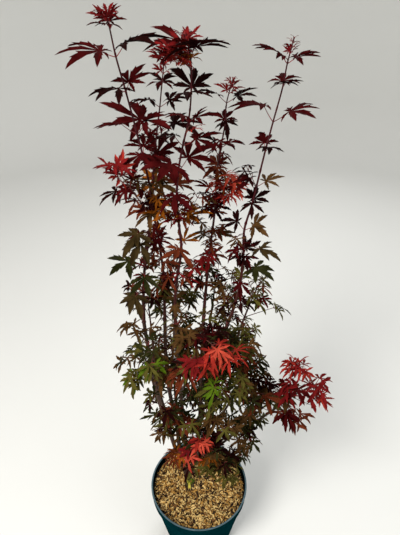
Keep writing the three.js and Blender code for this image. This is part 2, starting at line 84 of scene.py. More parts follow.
# The trunk and the tall shoots, with the same driving sizes as the solids
MIX_TOP = 218
GAP = 0.3
TRUNK_PATH = [[-28, 5], [-28.6, 4.8], [-29.2, 4.6], [-30, 4.2], [-31, 3.4], [-31.8, 2.4], [-32, 1.6]]
TRUNK_RISE = [0, 5, 12, 26, 46, 66, 82]
TRUNK_RADII = [15, 12, 10.2, 9.2, 8.6, 8.2, 7.8]
LEADER_RADII = (6.4, 4.2)
LEADER_TAPER = 0.7
SHOOT_RADII = (4.2, 1.0)
SHOOT_TAPER = 0.55
BOUGH_RADII = (3.8, 2.6)
STEM_RADII = (2.6, 1.4)

# How many points each middle line has, how many of them a sparser line steps over, and where a
# bough bends on its way and on its rise
TRUNK_POINTS = 60
LEADER_POINTS = 96
SHOOT_POINTS = 140
BOUGH_POINTS = 30
STEM_POINTS = 41
TWIG_POINTS = 7
STALK_POINTS = 5
SPARSE = 4
BOUGH_BEND = 0.55
BOUGH_BEND_RISE = 0.4

# Each shoot: its parent limb, the height where it leaves, its leader's way, the joints of its stem,
# and for each joint above the first the heading of its pair of leaves in degrees, 0 to the right,
# and the length of their middle lobes
SHOOTS = [
    {
        "name": "left", "parent": "trunk", "from": 252,
        "leader": [[-58, -6, 370], [-88, -12, 540], [-112, -13, 720]],
        "joints": [
            [-125, -10, 882], [-121, -13, 947], [-115, -17, 1016], [-101, -22, 1096], [-91, -26, 1158],
            [-88, -29, 1206], [-97, -35, 1277], [-104, -38, 1318], [-116, -45, 1388], [-126, -50, 1440],
            [-131, -55, 1482], [-135, -58, 1500],
        ],
        "headings": [0, 80, -10, 90, 5, 80, 0, 65, 8, 90, 20],
        "lobes": [30, 32, 36, 38, 46, 42, 58, 54, 72, 32, 26],
        "side": {"joint": 4, "points": [[-104, -46, 1192], [-118, -74, 1236], [-132, -102, 1278]]},
        "crown": ("crimson", 1.0),
    },
    {
        "name": "centre", "parent": "trunk", "from": None,
        "leader": [[-36, -6, 420], [-42, -16, 560], [-48, -24, 720]],
        "joints": [
            [-51, -30, 875], [-51, -34, 949], [-45, -38, 1017], [-34, -43, 1092], [-37, -48, 1156],
            [-39, -52, 1209], [-35, -56, 1258], [-26, -60, 1305], [-16, -64, 1346], [-11, -69, 1389],
            [-11, -75, 1444], [-20, -78, 1474],
        ],
        "headings": [90, 0, 80, -10, 90, 60, 0, 20, 90, -60, 10],
        "lobes": [30, 32, 36, 42, 46, 58, 46, 42, 48, 66, 30],
        "crown": ("crimson", 1.1),
    },
    {
        "name": "right", "parent": "trunk", "from": 258,
        "leader": [[-2, 4, 380], [26, 2, 540], [46, -2, 700]],
        "joints": [
            [61, -5, 854], [78, -5, 916], [90, -5, 984], [93, -5, 1053], [92, -5, 1116], [103, -5, 1168],
            [110, -5, 1209], [121, -5, 1276], [131, -5, 1330], [142, -5, 1387], [146, -5, 1424],
            [153, -5, 1462],
        ],
        "headings": [0, 80, 70, -20, 80, 10, 90, -15, 90, 0, 80],
        "lobes": [32, 34, 36, 42, 35, 38, 37, 62, 40, 50, 24],
        "crown": ("rose", 0.65),
    },
    {
        "name": "back_left", "parent": "leader_left", "from": 350,
        "leader": [[-62, 18, 480], [-78, 30, 600], [-84, 34, 730]],
        "joints": [
            [-81, 30, 855], [-80, 35, 923], [-80, 40, 991], [-86, 45, 1058], [-94, 51, 1125],
            [-93, 56, 1177], [-89, 61, 1232], [-81, 67, 1288], [-73, 73, 1337], [-68, 77, 1374],
            [-60, 83, 1428],
        ],
        "headings": [80, 0, 90, 20, 90, 70, -10, 20, 90, 0],
        "lobes": [32, 34, 36, 42, 46, 50, 74, 42, 38, 30],
        "crown": ("crimson", 0.7),
    },
    {
        "name": "back_right", "parent": "leader_right", "from": 345,
        "leader": [[2, 24, 470], [6, 32, 600], [8, 32, 740]],
        "joints": [
            [12, 30, 877], [17, 39, 945], [22, 48, 1007], [28, 57, 1064], [34, 66, 1117], [36, 73, 1160],
            [38, 81, 1206], [45, 90, 1253], [52, 98, 1295], [55, 107, 1337], [66, 114, 1379],
        ],
        "headings": [0, 90, 10, 80, 0, 90, 10, 90, 15, 60],
        "lobes": [30, 32, 34, 36, 38, 40, 36, 36, 46, 24],
        "crown": ("crimson", 0.95),
    },
]

# The low masses: the middle and radius of the space that each keeps to, and where its bough leaves
LOW_MASSES = [
    ("upper_left", (-112, 0, 885), 100, "leader_left", 640),
    ("upper_back_left", (-60, 122, 835), 100, "leader_back_left", 600),
    ("upper_back", (42, 128, 885), 100, "leader_back_right", 660),
    ("upper_right", (124, 50, 890), 104, "leader_right", 640),
    ("upper_front_right", (94, -84, 845), 104, "leader_right", 560),
    ("upper_front", (-4, -118, 905), 104, "leader_centre", 660),
    ("upper_front_left", (-94, -98, 835), 100, "leader_left", 540),
    ("middle_left", (-130, 4, 740), 98, "leader_left", 470),
    ("middle_back_left", (-74, 104, 690), 100, "leader_back_left", 450),
    ("middle_back_right", (72, 108, 740), 104, "leader_back_right", 500),
    ("middle_right", (124, -6, 720), 98, "leader_right", 440),
    ("middle_front_right", (52, -122, 740), 104, "leader_centre", 520),
    ("middle_front_left", (-64, -118, 690), 102, "leader_centre", 470),
    ("lower_left", (-96, 26, 560), 92, "leader_left", 350),
    ("lower_back", (4, 92, 560), 98, "leader_back_right", 400),
    ("lower_front", (-4, -100, 560), 96, "leader_centre", 350),
    ("lower_right", (100, -40, 560), 98, "leader_right", 320),
    ("lowest_right", (60, -52, 436), 92, "trunk", 282),
    ("reach_right", (184, -40, 650), 98, "leader_right", 350),
    ("reach_far_right", (246, -70, 720), 94, "leader_right", 400),
]

# A mass's stem as shares of its radius, its pairs of twigs (the place along the stem, the length as
# a share of the radius and the turn round the stem in degrees), their way ahead and aside, how much
# longer they are than on the solids, the shorter twigs between them, and what varies
LOW_STEM_START = 0.62
LOW_STEM_END = 0.42
LOW_STEM_BEND = 0.4
LOW_TWIGS = ((0.28, 0.56, 48), (0.66, 0.46, 138))
LOW_TWIG_WAY = (0.55, 0.83)
TWIG_GROWTH = 1.3
EXTRA_TWIG_STEPS = (0.1, 0.47, 0.85)
EXTRA_TWIG_LENGTH = 0.34
LOW_TURN_SPREAD = 20
LOW_LENGTH_SPREAD = 0.06

# Leaves by their place: the middle lobe and the stalk in millimetres, the droop of the blade and
# its tilt towards the light in front or behind in degrees, the half width of a lobe as a share of
# its length, its rise and bend in radians, how freely it rolls, and whether it is cut finely
Kind = namedtuple("Kind", "lobe petiole droop tilt width rise bend roll fine")
TOP_LEAF = Kind(60, 20, -20, 10, 0.15, 0.1, 0.5, 0.3, True)
TALL_LEAF = Kind(60, 32, -10, 26, 0.15, 0.1, 0.5, 0.8, True)
MIDDLE_LEAF = Kind(40, 22, -4, 28, 0.14, 0.1, 0.4, 1.2, True)
SIDE_LEAF = Kind(48, 14, -4, 28, 0.16, 0.1, 0.45, 0.6, True)
SPRAY_LEAF = Kind(38, 12, 16, 16, 0.1, 0.12, 0.6, 1.4, True)
LOW_LEAF = Kind(36, 16, 27, 8, 0.135, 0.08, 0.45, 1.6, False)
SMALL_LEAF = Kind(29, 12, 22, 8, 0.135, 0.08, 0.4, 1.6, False)
OPEN_LEAF = Kind(40, 18, 28, 8, 0.135, 0.08, 0.45, 1.6, False)
YOUNG_LEAF = Kind(33, 14, 2, 14, 0.09, 0.15, 0.6, 1.5, True)
CROWN_LEAF = Kind(25, 9, -38, 16, 0.13, 0.2, 0.6, 1.5, True)
BUD_LEAF = Kind(15, 6, -20, 10, 0.12, 0.3, 0.8, 1.5, False)
MIDDLE_LEAVES_BELOW = 1150
TOP_LEAVES_ABOVE = 1340

# How a leaf stands: the spread of its droop and of its roll, its lean from the twig and the spread
# of that, in degrees, the sag of its stalk as a share of the stalk, the share of its tilt that it
# always has, and how far towards front or back it points when it has all of it
DROOP_SPREAD = 15
ROLL_SPREAD = 18
LEAF_LEAN = 52
LEAN_SPREAD = 8
STALK_SAG = 0.08
LEAST_TILT = 0.15
FULL_TILT_FROM = 0.8

# How a twig grows: its rise to the light and its sway as shares of its length, the radius of its
# tip as a share of its own, and its radius in metres if it forks again and if it doesn't
TWIG_RISE = 0.16
TWIG_SWAY = (0.06, 0.06, 0.04)
TWIG_TAPER = 0.6
FORKED_TWIG_RADIUS = 0.0011
LAST_TWIG_RADIUS = 0.0008

# How a spray grows: the step between its pairs in lobes, the first pair's place and the bare tip in
# steps, the share of pairs that always stand, how often an axil forks, a fork's way ahead and aside,
# its least length and what may be added, the least size of a pair and what may be added, how often
# it ends in leaves, and the sizes of those
PAIR_STEP = 1.1
FIRST_PAIR = 0.55
BARE_TIP = 0.25
LEAST_PAIRS = 0.35
FORK_SHARE = 0.5
FORK_WAY = (0.6, 0.75)
FORK_LENGTH = (0.34, 0.3)
PAIR_SIZE = (0.85, 0.3)
TIP_SHARE = 0.5
TIP_PAIR_SIZE = 0.8
TIP_LEAF_SIZE = 0.9

# Sprays in the axils of a tall shoot: the spread of the headings in degrees, the heights in metres
# below which such sprays and most of them stand, how often each time, their way ahead and aside,
# and their least length in metres and what may be added
HEADING_SPREAD = 8
AXILS_BELOW = 1.25
MOST_AXILS_BELOW = 1.08
LOW_AXILS = 0.8
HIGH_AXILS = 0.4
AXIL_WAY = (0.75, 0.66)
AXIL_LENGTH = (0.026, 0.05)

# A crown: where along the last joint it starts, the step between its pairs and their first turn
CROWN_START = 0.4
CROWN_STEP = 0.2
CROWN_TURN = 0.5

# Single shoots, in metres: the radii, leaves and crown of the side shoot, the radii, start, bow, step
# and first turn of young sprays, and the way, length and leaves of the shoot low on the trunk
SIDE_SHOOT_RADII = (0.0016, 0.0009)
SIDE_LEAF_SIZE = 0.7
SIDE_CROWN_BELOW = 0.016
YOUNG_TWIG_RADII = (0.0012, 0.0008)
YOUNG_START_BELOW = 0.02
YOUNG_BOW = 0.012
YOUNG_PAIR_STEP = 0.009
YOUNG_TURN = 0.4
FOOT_SHOOT_WAY = (0.25, -0.75, 0.6)
FOOT_SHOOT_LENGTH = 0.022
FOOT_LEAF_SIZES = (0.8, 0.6)

# The first numbers of the repeatable streams: tall shoots, low masses and strays
SHOOT_SEED = 11
MASS_SEED = 101
STRAY_SEED = 5

# How a leaf is cut: the angle of each lobe and its length as a share of the middle one, the places
# of the points along its rib, and the place of the last tooth
Cut = namedtuple("Cut", "angles lengths ribs last_tooth")
FINE_CUT = Cut(
    angles=(-130, -86, -43, 0, 43, 86, 130), lengths=(0.36, 0.7, 0.92, 1, 0.92, 0.7, 0.36),
    ribs=(0.24, 0.46, 0.68, 1), last_tooth=0.87,
)
PLAIN_CUT = Cut(
    angles=(-108, -54, 0, 54, 108), lengths=(0.58, 0.88, 1, 0.88, 0.58),
    ribs=(0.3, 0.58, 1), last_tooth=0.82,
)

# The shape of a lobe, as shares of its length, of its width or of the notch
NOTCH = 0.1
NOTCH_RISE = 0.1
HEEL = 0.05
HEEL_ANGLE = 168
TOOTH_AHEAD = 0.05
TOOTH_OUT = 1.12
VALLEY_IN = 0.8
LOBE_LIFT = 0.45
LOBE_SKEW = 1.06
LOBE_POINT = 1.25
LEAST_BEND = 0.05

# How far each measure varies from leaf to leaf or from lobe to lobe
Spreads = namedtuple("Spreads", "width angle length bend lift sweep wave rise")
VARY = Spreads(width=0.15, angle=0.09, length=0.07, bend=0.25, lift=0.1, sweep=0.09, wave=0.05, rise=0.07)

# Masses whose twigs don't fork again and carry fewer, larger leaves
OPEN_MASSES = ("reach_right", "reach_far_right")

# How full a mass is: how often its extra twigs and forks grow and its pairs stay. Below zero no
# extra twig or fork grows and most pairs are left out
USUAL_FULLNESS = 0.55
FULLNESS = {
    "upper_left": 0.1, "upper_right": 0.25, "upper_front_left": 0.2, "upper_back": 0.35,
    "upper_back_left": 0.4, "middle_left": 0.15, "middle_front_left": 0.4, "lower_left": 0.2,
    "lower_front": 0.35, "lower_right": 0.5, "lowest_right": 0.5, "reach_right": 0.3,
    "reach_far_right": -0.25,
}

# Places in the low crown where no leaf of a mass's own sprays stands: the middle and the reach
OPEN_PLACES = [
    ((206, 8, 766), 70), ((184, -64, 822), 60), ((-190, -30, 520), 100), ((-190, 70, 520), 100),
    ((-160, 20, 440), 80), ((-140, -70, 545), 84), ((-24, -120, 490), 62), ((-132, -14, 500), 54),
    ((-126, -144, 686), 44), ((157, -109, 872), 26),
]

# The pairs that crowd at the end of a tall shoot: the kind of leaf and its size
CROWN_PAIRS = [(CROWN_LEAF, 1.0), (CROWN_LEAF, 0.85), (BUD_LEAF, 1.1), (BUD_LEAF, 0.7)]

# Colours of leaves, each a plain base colour, its gloss and the record's slot that it follows
TINTS = {
    "maroon": ((0.034, 0.0026, 0.0028), 0.01, "maroon_leaves"),
    "plum": ((0.011, 0.0024, 0.0022), 0.01, "maroon_leaves"),
    "crimson": ((0.108, 0.0065, 0.0068), 0.02, "maroon_leaves"),
    "rose": ((0.110, 0.0060, 0.0080), 0.01, "maroon_leaves"),
    "scarlet": ((0.205, 0.0160, 0.0105), 0.03, "maroon_leaves"),
    "coral": ((0.330, 0.0420, 0.0240), 0.04, "maroon_leaves"),
    "rust": ((0.150, 0.0420, 0.0040), 0.04, "bronze_leaves"),
    "russet": ((0.080, 0.0160, 0.0060), 0.06, "bronze_leaves"),
    "bronze": ((0.054, 0.0260, 0.0080), 0.07, "bronze_leaves"),
    "umber": ((0.030, 0.0190, 0.0065), 0.05, "bronze_leaves"),
    "olive": ((0.054, 0.0470, 0.0095), 0.08, "bronze_leaves"),
    "moss": ((0.0165, 0.0170, 0.0045), 0.08, "bronze_leaves"),
    "fresh_green": ((0.052, 0.0900, 0.0045), 0.08, "bronze_leaves"),
}

# Tints that may stray to another one of their place, and how often they do
EARTHY_TINTS = ("maroon", "plum", "russet", "bronze", "olive", "moss")
STRAY_SHARE = 0.35

# How often each tint is dealt out above a height, the highest first
HEIGHT_TINTS = [
    (1240, {"maroon": 7, "plum": 4}),
    (1060, {"maroon": 5, "russet": 2, "bronze": 2, "plum": 3}),
    (940, {"maroon": 2, "russet": 2, "bronze": 3, "plum": 3, "olive": 1, "moss": 1}),
    (780, {"bronze": 4, "olive": 3, "russet": 1, "moss": 4, "plum": 2}),
    (620, {"olive": 3, "bronze": 3, "moss": 5, "russet": 1, "plum": 2}),
    (0, {"bronze": 3, "moss": 5, "olive": 2, "plum": 2}),
]

# Places where sprays turn another colour: the middle, the reach, and the tints that are dealt there
AUTUMN_PLACES = [
    ((-32, -50, 1160), 44, {"rust": 4, "russet": 2, "crimson": 1}),
    ((-26, -44, 1100), 50, {"rust": 2, "russet": 3, "crimson": 1, "maroon": 1}),
    ((-66, 40, 1120), 50, {"rust": 1, "russet": 3, "maroon": 2}),
    ((-60, -20, 1010), 62, {"russet": 4, "crimson": 2, "maroon": 2}),
    ((20, 40, 1040), 50, {"russet": 3, "crimson": 1, "bronze": 2}),
    ((-80, 60, 1180), 60, {"maroon": 4, "russet": 3, "rust": 1}),
    ((-150, -60, 830), 40, {"fresh_green": 1, "olive": 2}),
    ((216, -60, 640), 62, {"maroon": 3, "bronze": 3, "russet": 3, "plum": 2}),
    ((262, -80, 730), 80, {"maroon": 1, "crimson": 4, "scarlet": 2}),
]

# Single sprays and leaves: the mass or tall shoot that they grow from, the place of their tip, the
# tints of their leaves from the tip down, the number of pairs (none for a single leaf) and the kind
# of leaf
YOUNG_SPRAYS = [
    ("upper_front", (32, -166, 947), ("coral", "scarlet"), 2, SPRAY_LEAF),
    ("upper_front", (15, -172, 924), ("scarlet", "crimson"), 1, SPRAY_LEAF),
    ("upper_front", (57, -168, 939), ("scarlet", "scarlet"), 1, YOUNG_LEAF),
    ("upper_front", (-7, -166, 927), ("crimson", "rose"), 1, SPRAY_LEAF),
    ("upper_front", (-29, -168, 896), ("russet", "russet"), 1, SPRAY_LEAF),
    ("middle_front_right", (34, -188, 862), ("fresh_green", "olive"), 2, SMALL_LEAF),
    ("upper_front_left", (-93, -160, 895), ("olive", "fresh_green"), 2, SMALL_LEAF),
    ("middle_left", (-132, -112, 826), ("olive", "fresh_green"), 2, SMALL_LEAF),
    ("lower_front", (-22, -138, 580), ("coral", "rose", "scarlet"), 3, SMALL_LEAF),
    ("lower_front", (6, -140, 628), ("coral", "scarlet", "crimson"), 3, SMALL_LEAF),
    ("lower_front", (-50, -132, 572), ("russet", "rust"), 2, YOUNG_LEAF),
    ("lower_front", (10, -128, 566), ("rust", "russet"), 1, YOUNG_LEAF),
    ("reach_far_right", (210, -84, 824), ("scarlet", "crimson", "scarlet"), 4, SMALL_LEAF),
    ("reach_far_right", (232, -84, 808), ("crimson", "scarlet"), 2, SMALL_LEAF),
    ("reach_far_right", (274, -86, 724), ("scarlet", "crimson"), 2, YOUNG_LEAF),
    ("reach_far_right", (288, 2, 650), ("crimson", "maroon"), 1, YOUNG_LEAF),
    ("reach_far_right", (218, -78, 742), ("crimson", "maroon"), 2, OPEN_LEAF),
    ("reach_right", (206, -74, 664), ("maroon", "russet"), 2, OPEN_LEAF),
    ("reach_right", (234, -72, 640), ("russet", "crimson"), 1, LOW_LEAF),
    ("reach_right", (145, -74, 716), ("bronze", "russet"), 2, OPEN_LEAF),
    ("reach_right", (176, -60, 707), ("bronze", "olive"), 1, OPEN_LEAF),
    ("lower_right", (119, -84, 657), ("bronze", "russet"), 1, OPEN_LEAF),
    ("back_right", (60, 50, 1202), ("coral", "scarlet", "rust"), 4, YOUNG_LEAF),
    ("back_right", (42, 50, 1190), ("scarlet", "coral", "crimson"), 4, CROWN_LEAF),
    ("back_right", (54, 44, 1176), ("scarlet", "rust", "crimson"), 3, YOUNG_LEAF),
    ("back_right", (72, 54, 1184), ("scarlet", "crimson"), 3, CROWN_LEAF),
    ("centre", (-34, -80, 1448), ("crimson", "scarlet", "crimson"), 4, CROWN_LEAF),
    ("centre", (-22, -84, 1440), ("scarlet", "crimson", "rust"), 3, CROWN_LEAF),
    ("centre", (-48, -78, 1444), ("crimson", "maroon"), 2, CROWN_LEAF),
    ("centre", (-8, -78, 1342), ("scarlet",), 1, BUD_LEAF),
    ("centre", (-24, -64, 1190), ("rust", "crimson", "russet"), 3, CROWN_LEAF),
    ("centre", (-42, -62, 1172), ("crimson", "rust"), 3, CROWN_LEAF),
    ("back_left", (-60, 30, 1168), ("rust", "russet"), 2, CROWN_LEAF),
    ("left", (-109, -40, 1133), ("umber",), 0, SIDE_LEAF),
    ("left", (-107, -44, 1115), ("umber",), 0, SIDE_LEAF),
    ("left", (-129, -40, 1070), ("moss",), 0, SIDE_LEAF),
    ("left", (-111, -40, 1034), ("moss",), 0, SIDE_LEAF),
    ("left", (-128, -34, 981), ("umber",), 0, SIDE_LEAF),
    ("left", (-126, -60, 1233), ("plum",), 0, MIDDLE_LEAF),
    ("right", (112, -20, 1086), ("umber",), 0, SIDE_LEAF),
    ("right", (106, -20, 1045), ("moss",), 0, SIDE_LEAF),
]

# Colours of wood, of what lies on it and on the pot, and the place (x, height) of the trunk's streak
OLD_BARK = (0.085, 0.060, 0.030)
YOUNG_BARK = (0.075, 0.038, 0.028)
# Young green bark, painted paler as a highlight where light falls on the trunk's front
LIT_GREEN_BARK = (0.55, 0.47, 0.07)
LOW_BOUGH_BARK = (0.10, 0.065, 0.038)
HIGH_BOUGH_BARK = (0.075, 0.030, 0.022)
LOW_SHOOT_BARK = (0.080, 0.024, 0.017)
HIGH_SHOOT_BARK = (0.062, 0.006, 0.010)
TWIG_BARK = (0.075, 0.025, 0.018)
LENTICEL_COLOR = (0.30, 0.22, 0.13)
DUST_COLOR = (0.16, 0.13, 0.095)
# The place (x, height where it forks) of that painted highlight on the trunk
LIT_STREAK_PLACE = (-0.0295, 0.236)

# How many sides each kind of round wood has
SIDES = {"trunk": 48, "leader": 24, "bough": 14, "shoot": 12, "stem": 10, "twig": 6, "stalk": 5}

# Relief of wood as a share of its radius, and the places and sizes of scars, flare and joints
TRUNK_RELIEF = 0.028
TRUNK_FLARE = 0.16
LIMB_RELIEF = 0.03
SCAR_STEP = 0.041
SCAR_PLACE = 0.02
SCAR_WIDTH = 0.0016
SCAR_STRENGTH = 1.6
FLARE_HEIGHT = 0.009
JOINT_SWELL = 0.32
JOINT_WIDTH = 0.045

# The pot's smaller sizes in metres: the lip's height, the rounding of foot, band and lip and its
# steps, the floor's thickness, and the drain holes
LIP_HEIGHT = 0.005
FOOT_EDGE = 0.003
BAND_EDGE = 0.001
LIP_EDGE = 0.0012
EDGE_STEPS = 5
FLOOR = 0.003
DRAIN_HOLES = 4
DRAIN_SIDES = 40
DRAIN_RADIUS = 0.007
DRAIN_REACH = 0.072

# Edges sharper than these angles in degrees stay sharp
POT_CREASE = 35
CHIP_CREASE = 20
LEAF_CREASE = 24

# The bark mix in metres: its play in the pot at the top, how far it drops towards the edge and how
# wide that slope is, then for the bed its depth below the top, its play lower down, the heights of
# its foot and shoulder, the radius of its first ring and the height of its waves
# The mix under the chips, darkened to near black as painted shade in the gaps between chips
BED_COLOR = (0.012, 0.007, 0.004)
MIX_PLAY = 0.0004
EDGE_DROP = 0.004
EDGE_SLOPE = 0.016
BED_BELOW = 0.0015
BED_PLAY = 0.0006
BED_FOOT = 0.0034
BED_SHOULDER = 0.2
BED_FIRST_RING = 0.003
BED_WAVES = 0.0011

# The colour of each tint of chips and its share of all chips
CHIP_TINTS = {
    "chips_tan": ((0.64, 0.44, 0.17), 0.34),
    "chips_ochre": ((0.38, 0.20, 0.045), 0.22),
    "chips_brown": ((0.15, 0.068, 0.020), 0.18),
    "chips_dark": ((0.026, 0.013, 0.006), 0.26),
}

# A chip: its outline, the size of its upper face, how far each point is moved, the spread of its
# length, its least and most width and thickness in lengths and its thickness in metres, and the
# spread of its tilt and its lean
CHIP_OUTLINE = ((-0.5, 0.05), (-0.22, -0.5), (0.3, -0.46), (0.5, 0.0), (0.24, 0.5), (-0.3, 0.44))
CHIP_UPPER = 0.86
CHIP_JITTER = 0.07
CHIP_SPREAD = 0.34
CHIP_WIDTHS = (0.18, 0.34)
CHIP_DEPTHS = (0.12, 0.26)
CHIP_DEPTH_LIMITS = (0.0008, 0.0032)
CHIP_TILT = 0.34
CHIP_LEAN = 0.3

# Where chips lie, in metres: their play at the edge, how far below the top the lowest lie and how
# high they pile, how far they keep from the trunk, and how far those too near are moved
CHIP_PLAY = 0.0005
CHIP_BELOW = 0.001
CHIP_PILE = 0.0062
TRUNK_CLEARANCE = 0.017
MOVED_ASIDE = 0.03

# The room in metres and its steps, and each light's name, place, size, power and colour
ROOM_BEND = 0.9
ROOM_HEIGHT = 5.0
ROOM_STEPS = 16
ROOM_SIDES = 96
LIGHTS = (
    ("key", (-1.3, -1.7, 3.0), 1.1, 125, (1.0, 0.97, 0.92)),
    ("fill", (2.4, -1.4, 1.9), 2.0, 26, (0.95, 0.98, 1.0)),
    ("rim", (0.8, 2.3, 2.8), 1.6, 45, (1.0, 1.0, 1.0)),
)
LIT_MIDDLE = (0, 0, 0.8)
WORLD_COLOR = (1.0, 0.985, 0.96, 1)
WORLD_STRENGTH = 0.38
SENSOR_WIDTH = 36


def heading(angle):
    """The level direction at an angle from +X."""
    return Vector((math.cos(angle), math.sin(angle), 0))


def square_to(tangent):
    """The two directions square to a tangent, the first as level as it can be."""
    level = UP.cross(tangent)
    if level.length < NEARLY_UPRIGHT:
        level = Vector((1, 0, 0))
    level.normalize()
    return level, tangent.cross(level)


def around(level, raised, angle):
    """The direction at an angle round, from the first of two square directions to the second."""
    return level * math.cos(angle) + raised * math.sin(angle)


def forked(forward, side, ahead, aside):
    """A direction that leaves another one to a side."""
    return (forward * ahead + side * aside).normalized()


def direction_at(path, index):
    """The direction from one point of a path to the next."""
    return Vector(path[index + 1] - path[index]).normalized()


class Stream:
    """Repeatable numbers: each state is the last times 1664525 plus 1013904223, cut to 32 bits."""

    def __init__(self, seed):
        self.state = (seed * 2654435761) & 0xFFFFFFFF

    def share(self):
        """The next number from 0 to 1."""
        self.state = (self.state * 1664525 + 1013904223) & 0xFFFFFFFF
        return self.state / 4294967296

    def spread(self, amount):
        """The next number from minus the amount to plus the amount."""
        return (self.share() * 2 - 1) * amount

    def above(self, least, more):
        """The next number from the least one to as much more."""
        return least + self.share() * more

    def deal(self, weights):
        """One of the names, each as often as its weight says."""
        left = self.share() * sum(weights.values())
        for name, weight in weights.items():
            left -= weight
            if left <= 0:
                break
        return name


def curve_through(points, count, share=1.0):
    """Evenly counted points on a curve through the given ones.

    Between two of them it is the cubic whose slope at each end is half the step between that
    point's neighbours. It stops at a share of the way along.
    """
    known = np.array(points, float)
    padded = np.vstack([2 * known[0] - known[1], known, 2 * known[-1] - known[-2]])
    place = np.linspace(0, share, count) * (len(known) - 1)
    first = np.minimum(place.astype(int), len(known) - 2)
    t = (place - first)[:, None]
    before, a, b, after = (padded[first + k] for k in range(4))
    return (
        a * (2 * t**3 - 3 * t**2 + 1) + (b - before) / 2 * (t**3 - 2 * t**2 + t)
        + b * (3 * t**2 - 2 * t**3) + (after - a) / 2 * (t**3 - t**2)
    )


def arc(start, bend, finish, count):
    """Points on the quadratic curve that leaves the start towards the bend and ends at the finish."""
    t = np.linspace(0, 1, count)[:, None]
    a, b, c = (np.array(p, float) for p in (start, bend, finish))
    return a * (1 - t) ** 2 + b * 2 * t * (1 - t) + c * t**2


def taper(from_radius, to_radius, count, power=1.0):
    """Radii that go from one to the other, the faster at first the smaller the power."""
    return from_radius + (to_radius - from_radius) * np.linspace(0, 1, count) ** power


def unit(vectors):
    """Each vector of an array divided by its length."""
    return vectors / np.maximum(np.linalg.norm(vectors, axis=-1, keepdims=True), 1e-9)


def ring_faces(rings, sides):
    """The faces of a closed body whose points are rings from foot to tip and then its two ends:
    quads between neighbouring rings, a fan at the foot and a fan at the tip."""
    here = np.arange(sides)
    ahead = (here + 1) % sides
    ring = np.arange(rings - 1)[:, None] * sides
    quads = np.stack([ring + here, ring + ahead, ring + sides + ahead, ring + sides + here], axis=-1)
    foot, last = rings * sides, (rings - 1) * sides
    return [
        quads.reshape(-1, 4),
        np.stack([np.full(sides, foot), ahead, here], axis=-1),
        np.stack([np.full(sides, foot + 1), last + here, last + ahead], axis=-1),
    ]


def repeated(faces, count, size):
    """The faces of many like bodies, each of the same number of points."""
    return (faces[None] + (np.arange(count) * size)[:, None, None]).reshape(-1, faces.shape[1])


def tubes(paths, radii, sides, relief=None):
    """Closed round tubes along many paths at once, as (points, faces, UV of each corner).

    Ring k of a tube is the path's point k, plus the radius there times the cosine and the sine of
    the angle round, along two directions square to the path. relief(length along, angle round)
    multiplies the radius. Each end is closed by a fan to the path's own end point. The UV map is
    the share round and the length along in metres.
    """
    paths = np.asarray(paths, float)
    count, rings, _ = paths.shape
    steps = np.linalg.norm(np.diff(paths, axis=1), axis=2)
    length = np.concatenate([np.zeros((count, 1)), np.cumsum(steps, axis=1)], axis=1)
    tangent = unit(np.gradient(paths, axis=1))
    reference = np.eye(3)[np.argmin(np.abs(paths[:, -1] - paths[:, 0]), axis=1)][:, None]
    side = unit(reference - tangent * np.sum(reference * tangent, axis=2, keepdims=True))
    other = np.cross(tangent, side)
    angle = 2 * np.pi * np.arange(sides) / sides
    reach = np.broadcast_to(radii, (count, rings))[:, :, None] * np.ones(sides)
    if relief is not None:
        reach = reach * relief(length[:, :, None], angle[None, None])
    wall = (
        paths[:, :, None]
        + (reach * np.cos(angle))[..., None] * side[:, :, None]
        + (reach * np.sin(angle))[..., None] * other[:, :, None]
    )
    points = np.concatenate([wall.reshape(count, -1, 3), paths[:, :1], paths[:, -1:]], axis=1)
    faces = [repeated(group, count, points.shape[1]) for group in ring_faces(rings, sides)]
    here = np.arange(sides) / sides
    wall_uv = np.zeros((count, rings - 1, sides, 4, 2))
    wall_uv[..., 0] = np.stack([here, here + 1 / sides, here + 1 / sides, here], axis=-1)
    foot, tip = length[:, :-1], length[:, 1:]
    wall_uv[..., 1] = np.stack([foot, foot, tip, tip], axis=-1)[:, :, None]
    fans_uv = np.zeros((count * sides * 6, 2))
    return points.reshape(-1, 3), faces, np.vstack([wall_uv.reshape(-1, 2), fans_uv])


def lathe(profile, sides):
    """A profile of (radius, height) turned round the Z axis. It starts and ends on the axis."""
    radius, height = (np.array(profile[1:-1], float)[:, [k]] for k in (0, 1))
    angle = 2 * np.pi * np.arange(sides) / sides
    wall = np.stack([radius * np.cos(angle), radius * np.sin(angle), height * np.ones(sides)], axis=-1)
    ends = np.array([[0, 0, profile[0][1]], [0, 0, profile[-1][1]]], float)
    return np.vstack([wall.reshape(-1, 3), ends]), ring_faces(len(radius), sides)


def joined(parts):
    """Several (points, faces) as one, the faces of the same number of corners together."""
    by_corners = defaultdict(list)
    offset = 0
    for points, groups in parts:
        for faces in groups:
            by_corners[faces.shape[1]].append(faces + offset)
        offset += len(points)
    return np.vstack([points for points, _ in parts]), [np.vstack(group) for group in by_corners.values()]


def listed(faces):
    """The faces as plain lists, for from_pydata."""
    return [face for group in faces for face in group.tolist()]


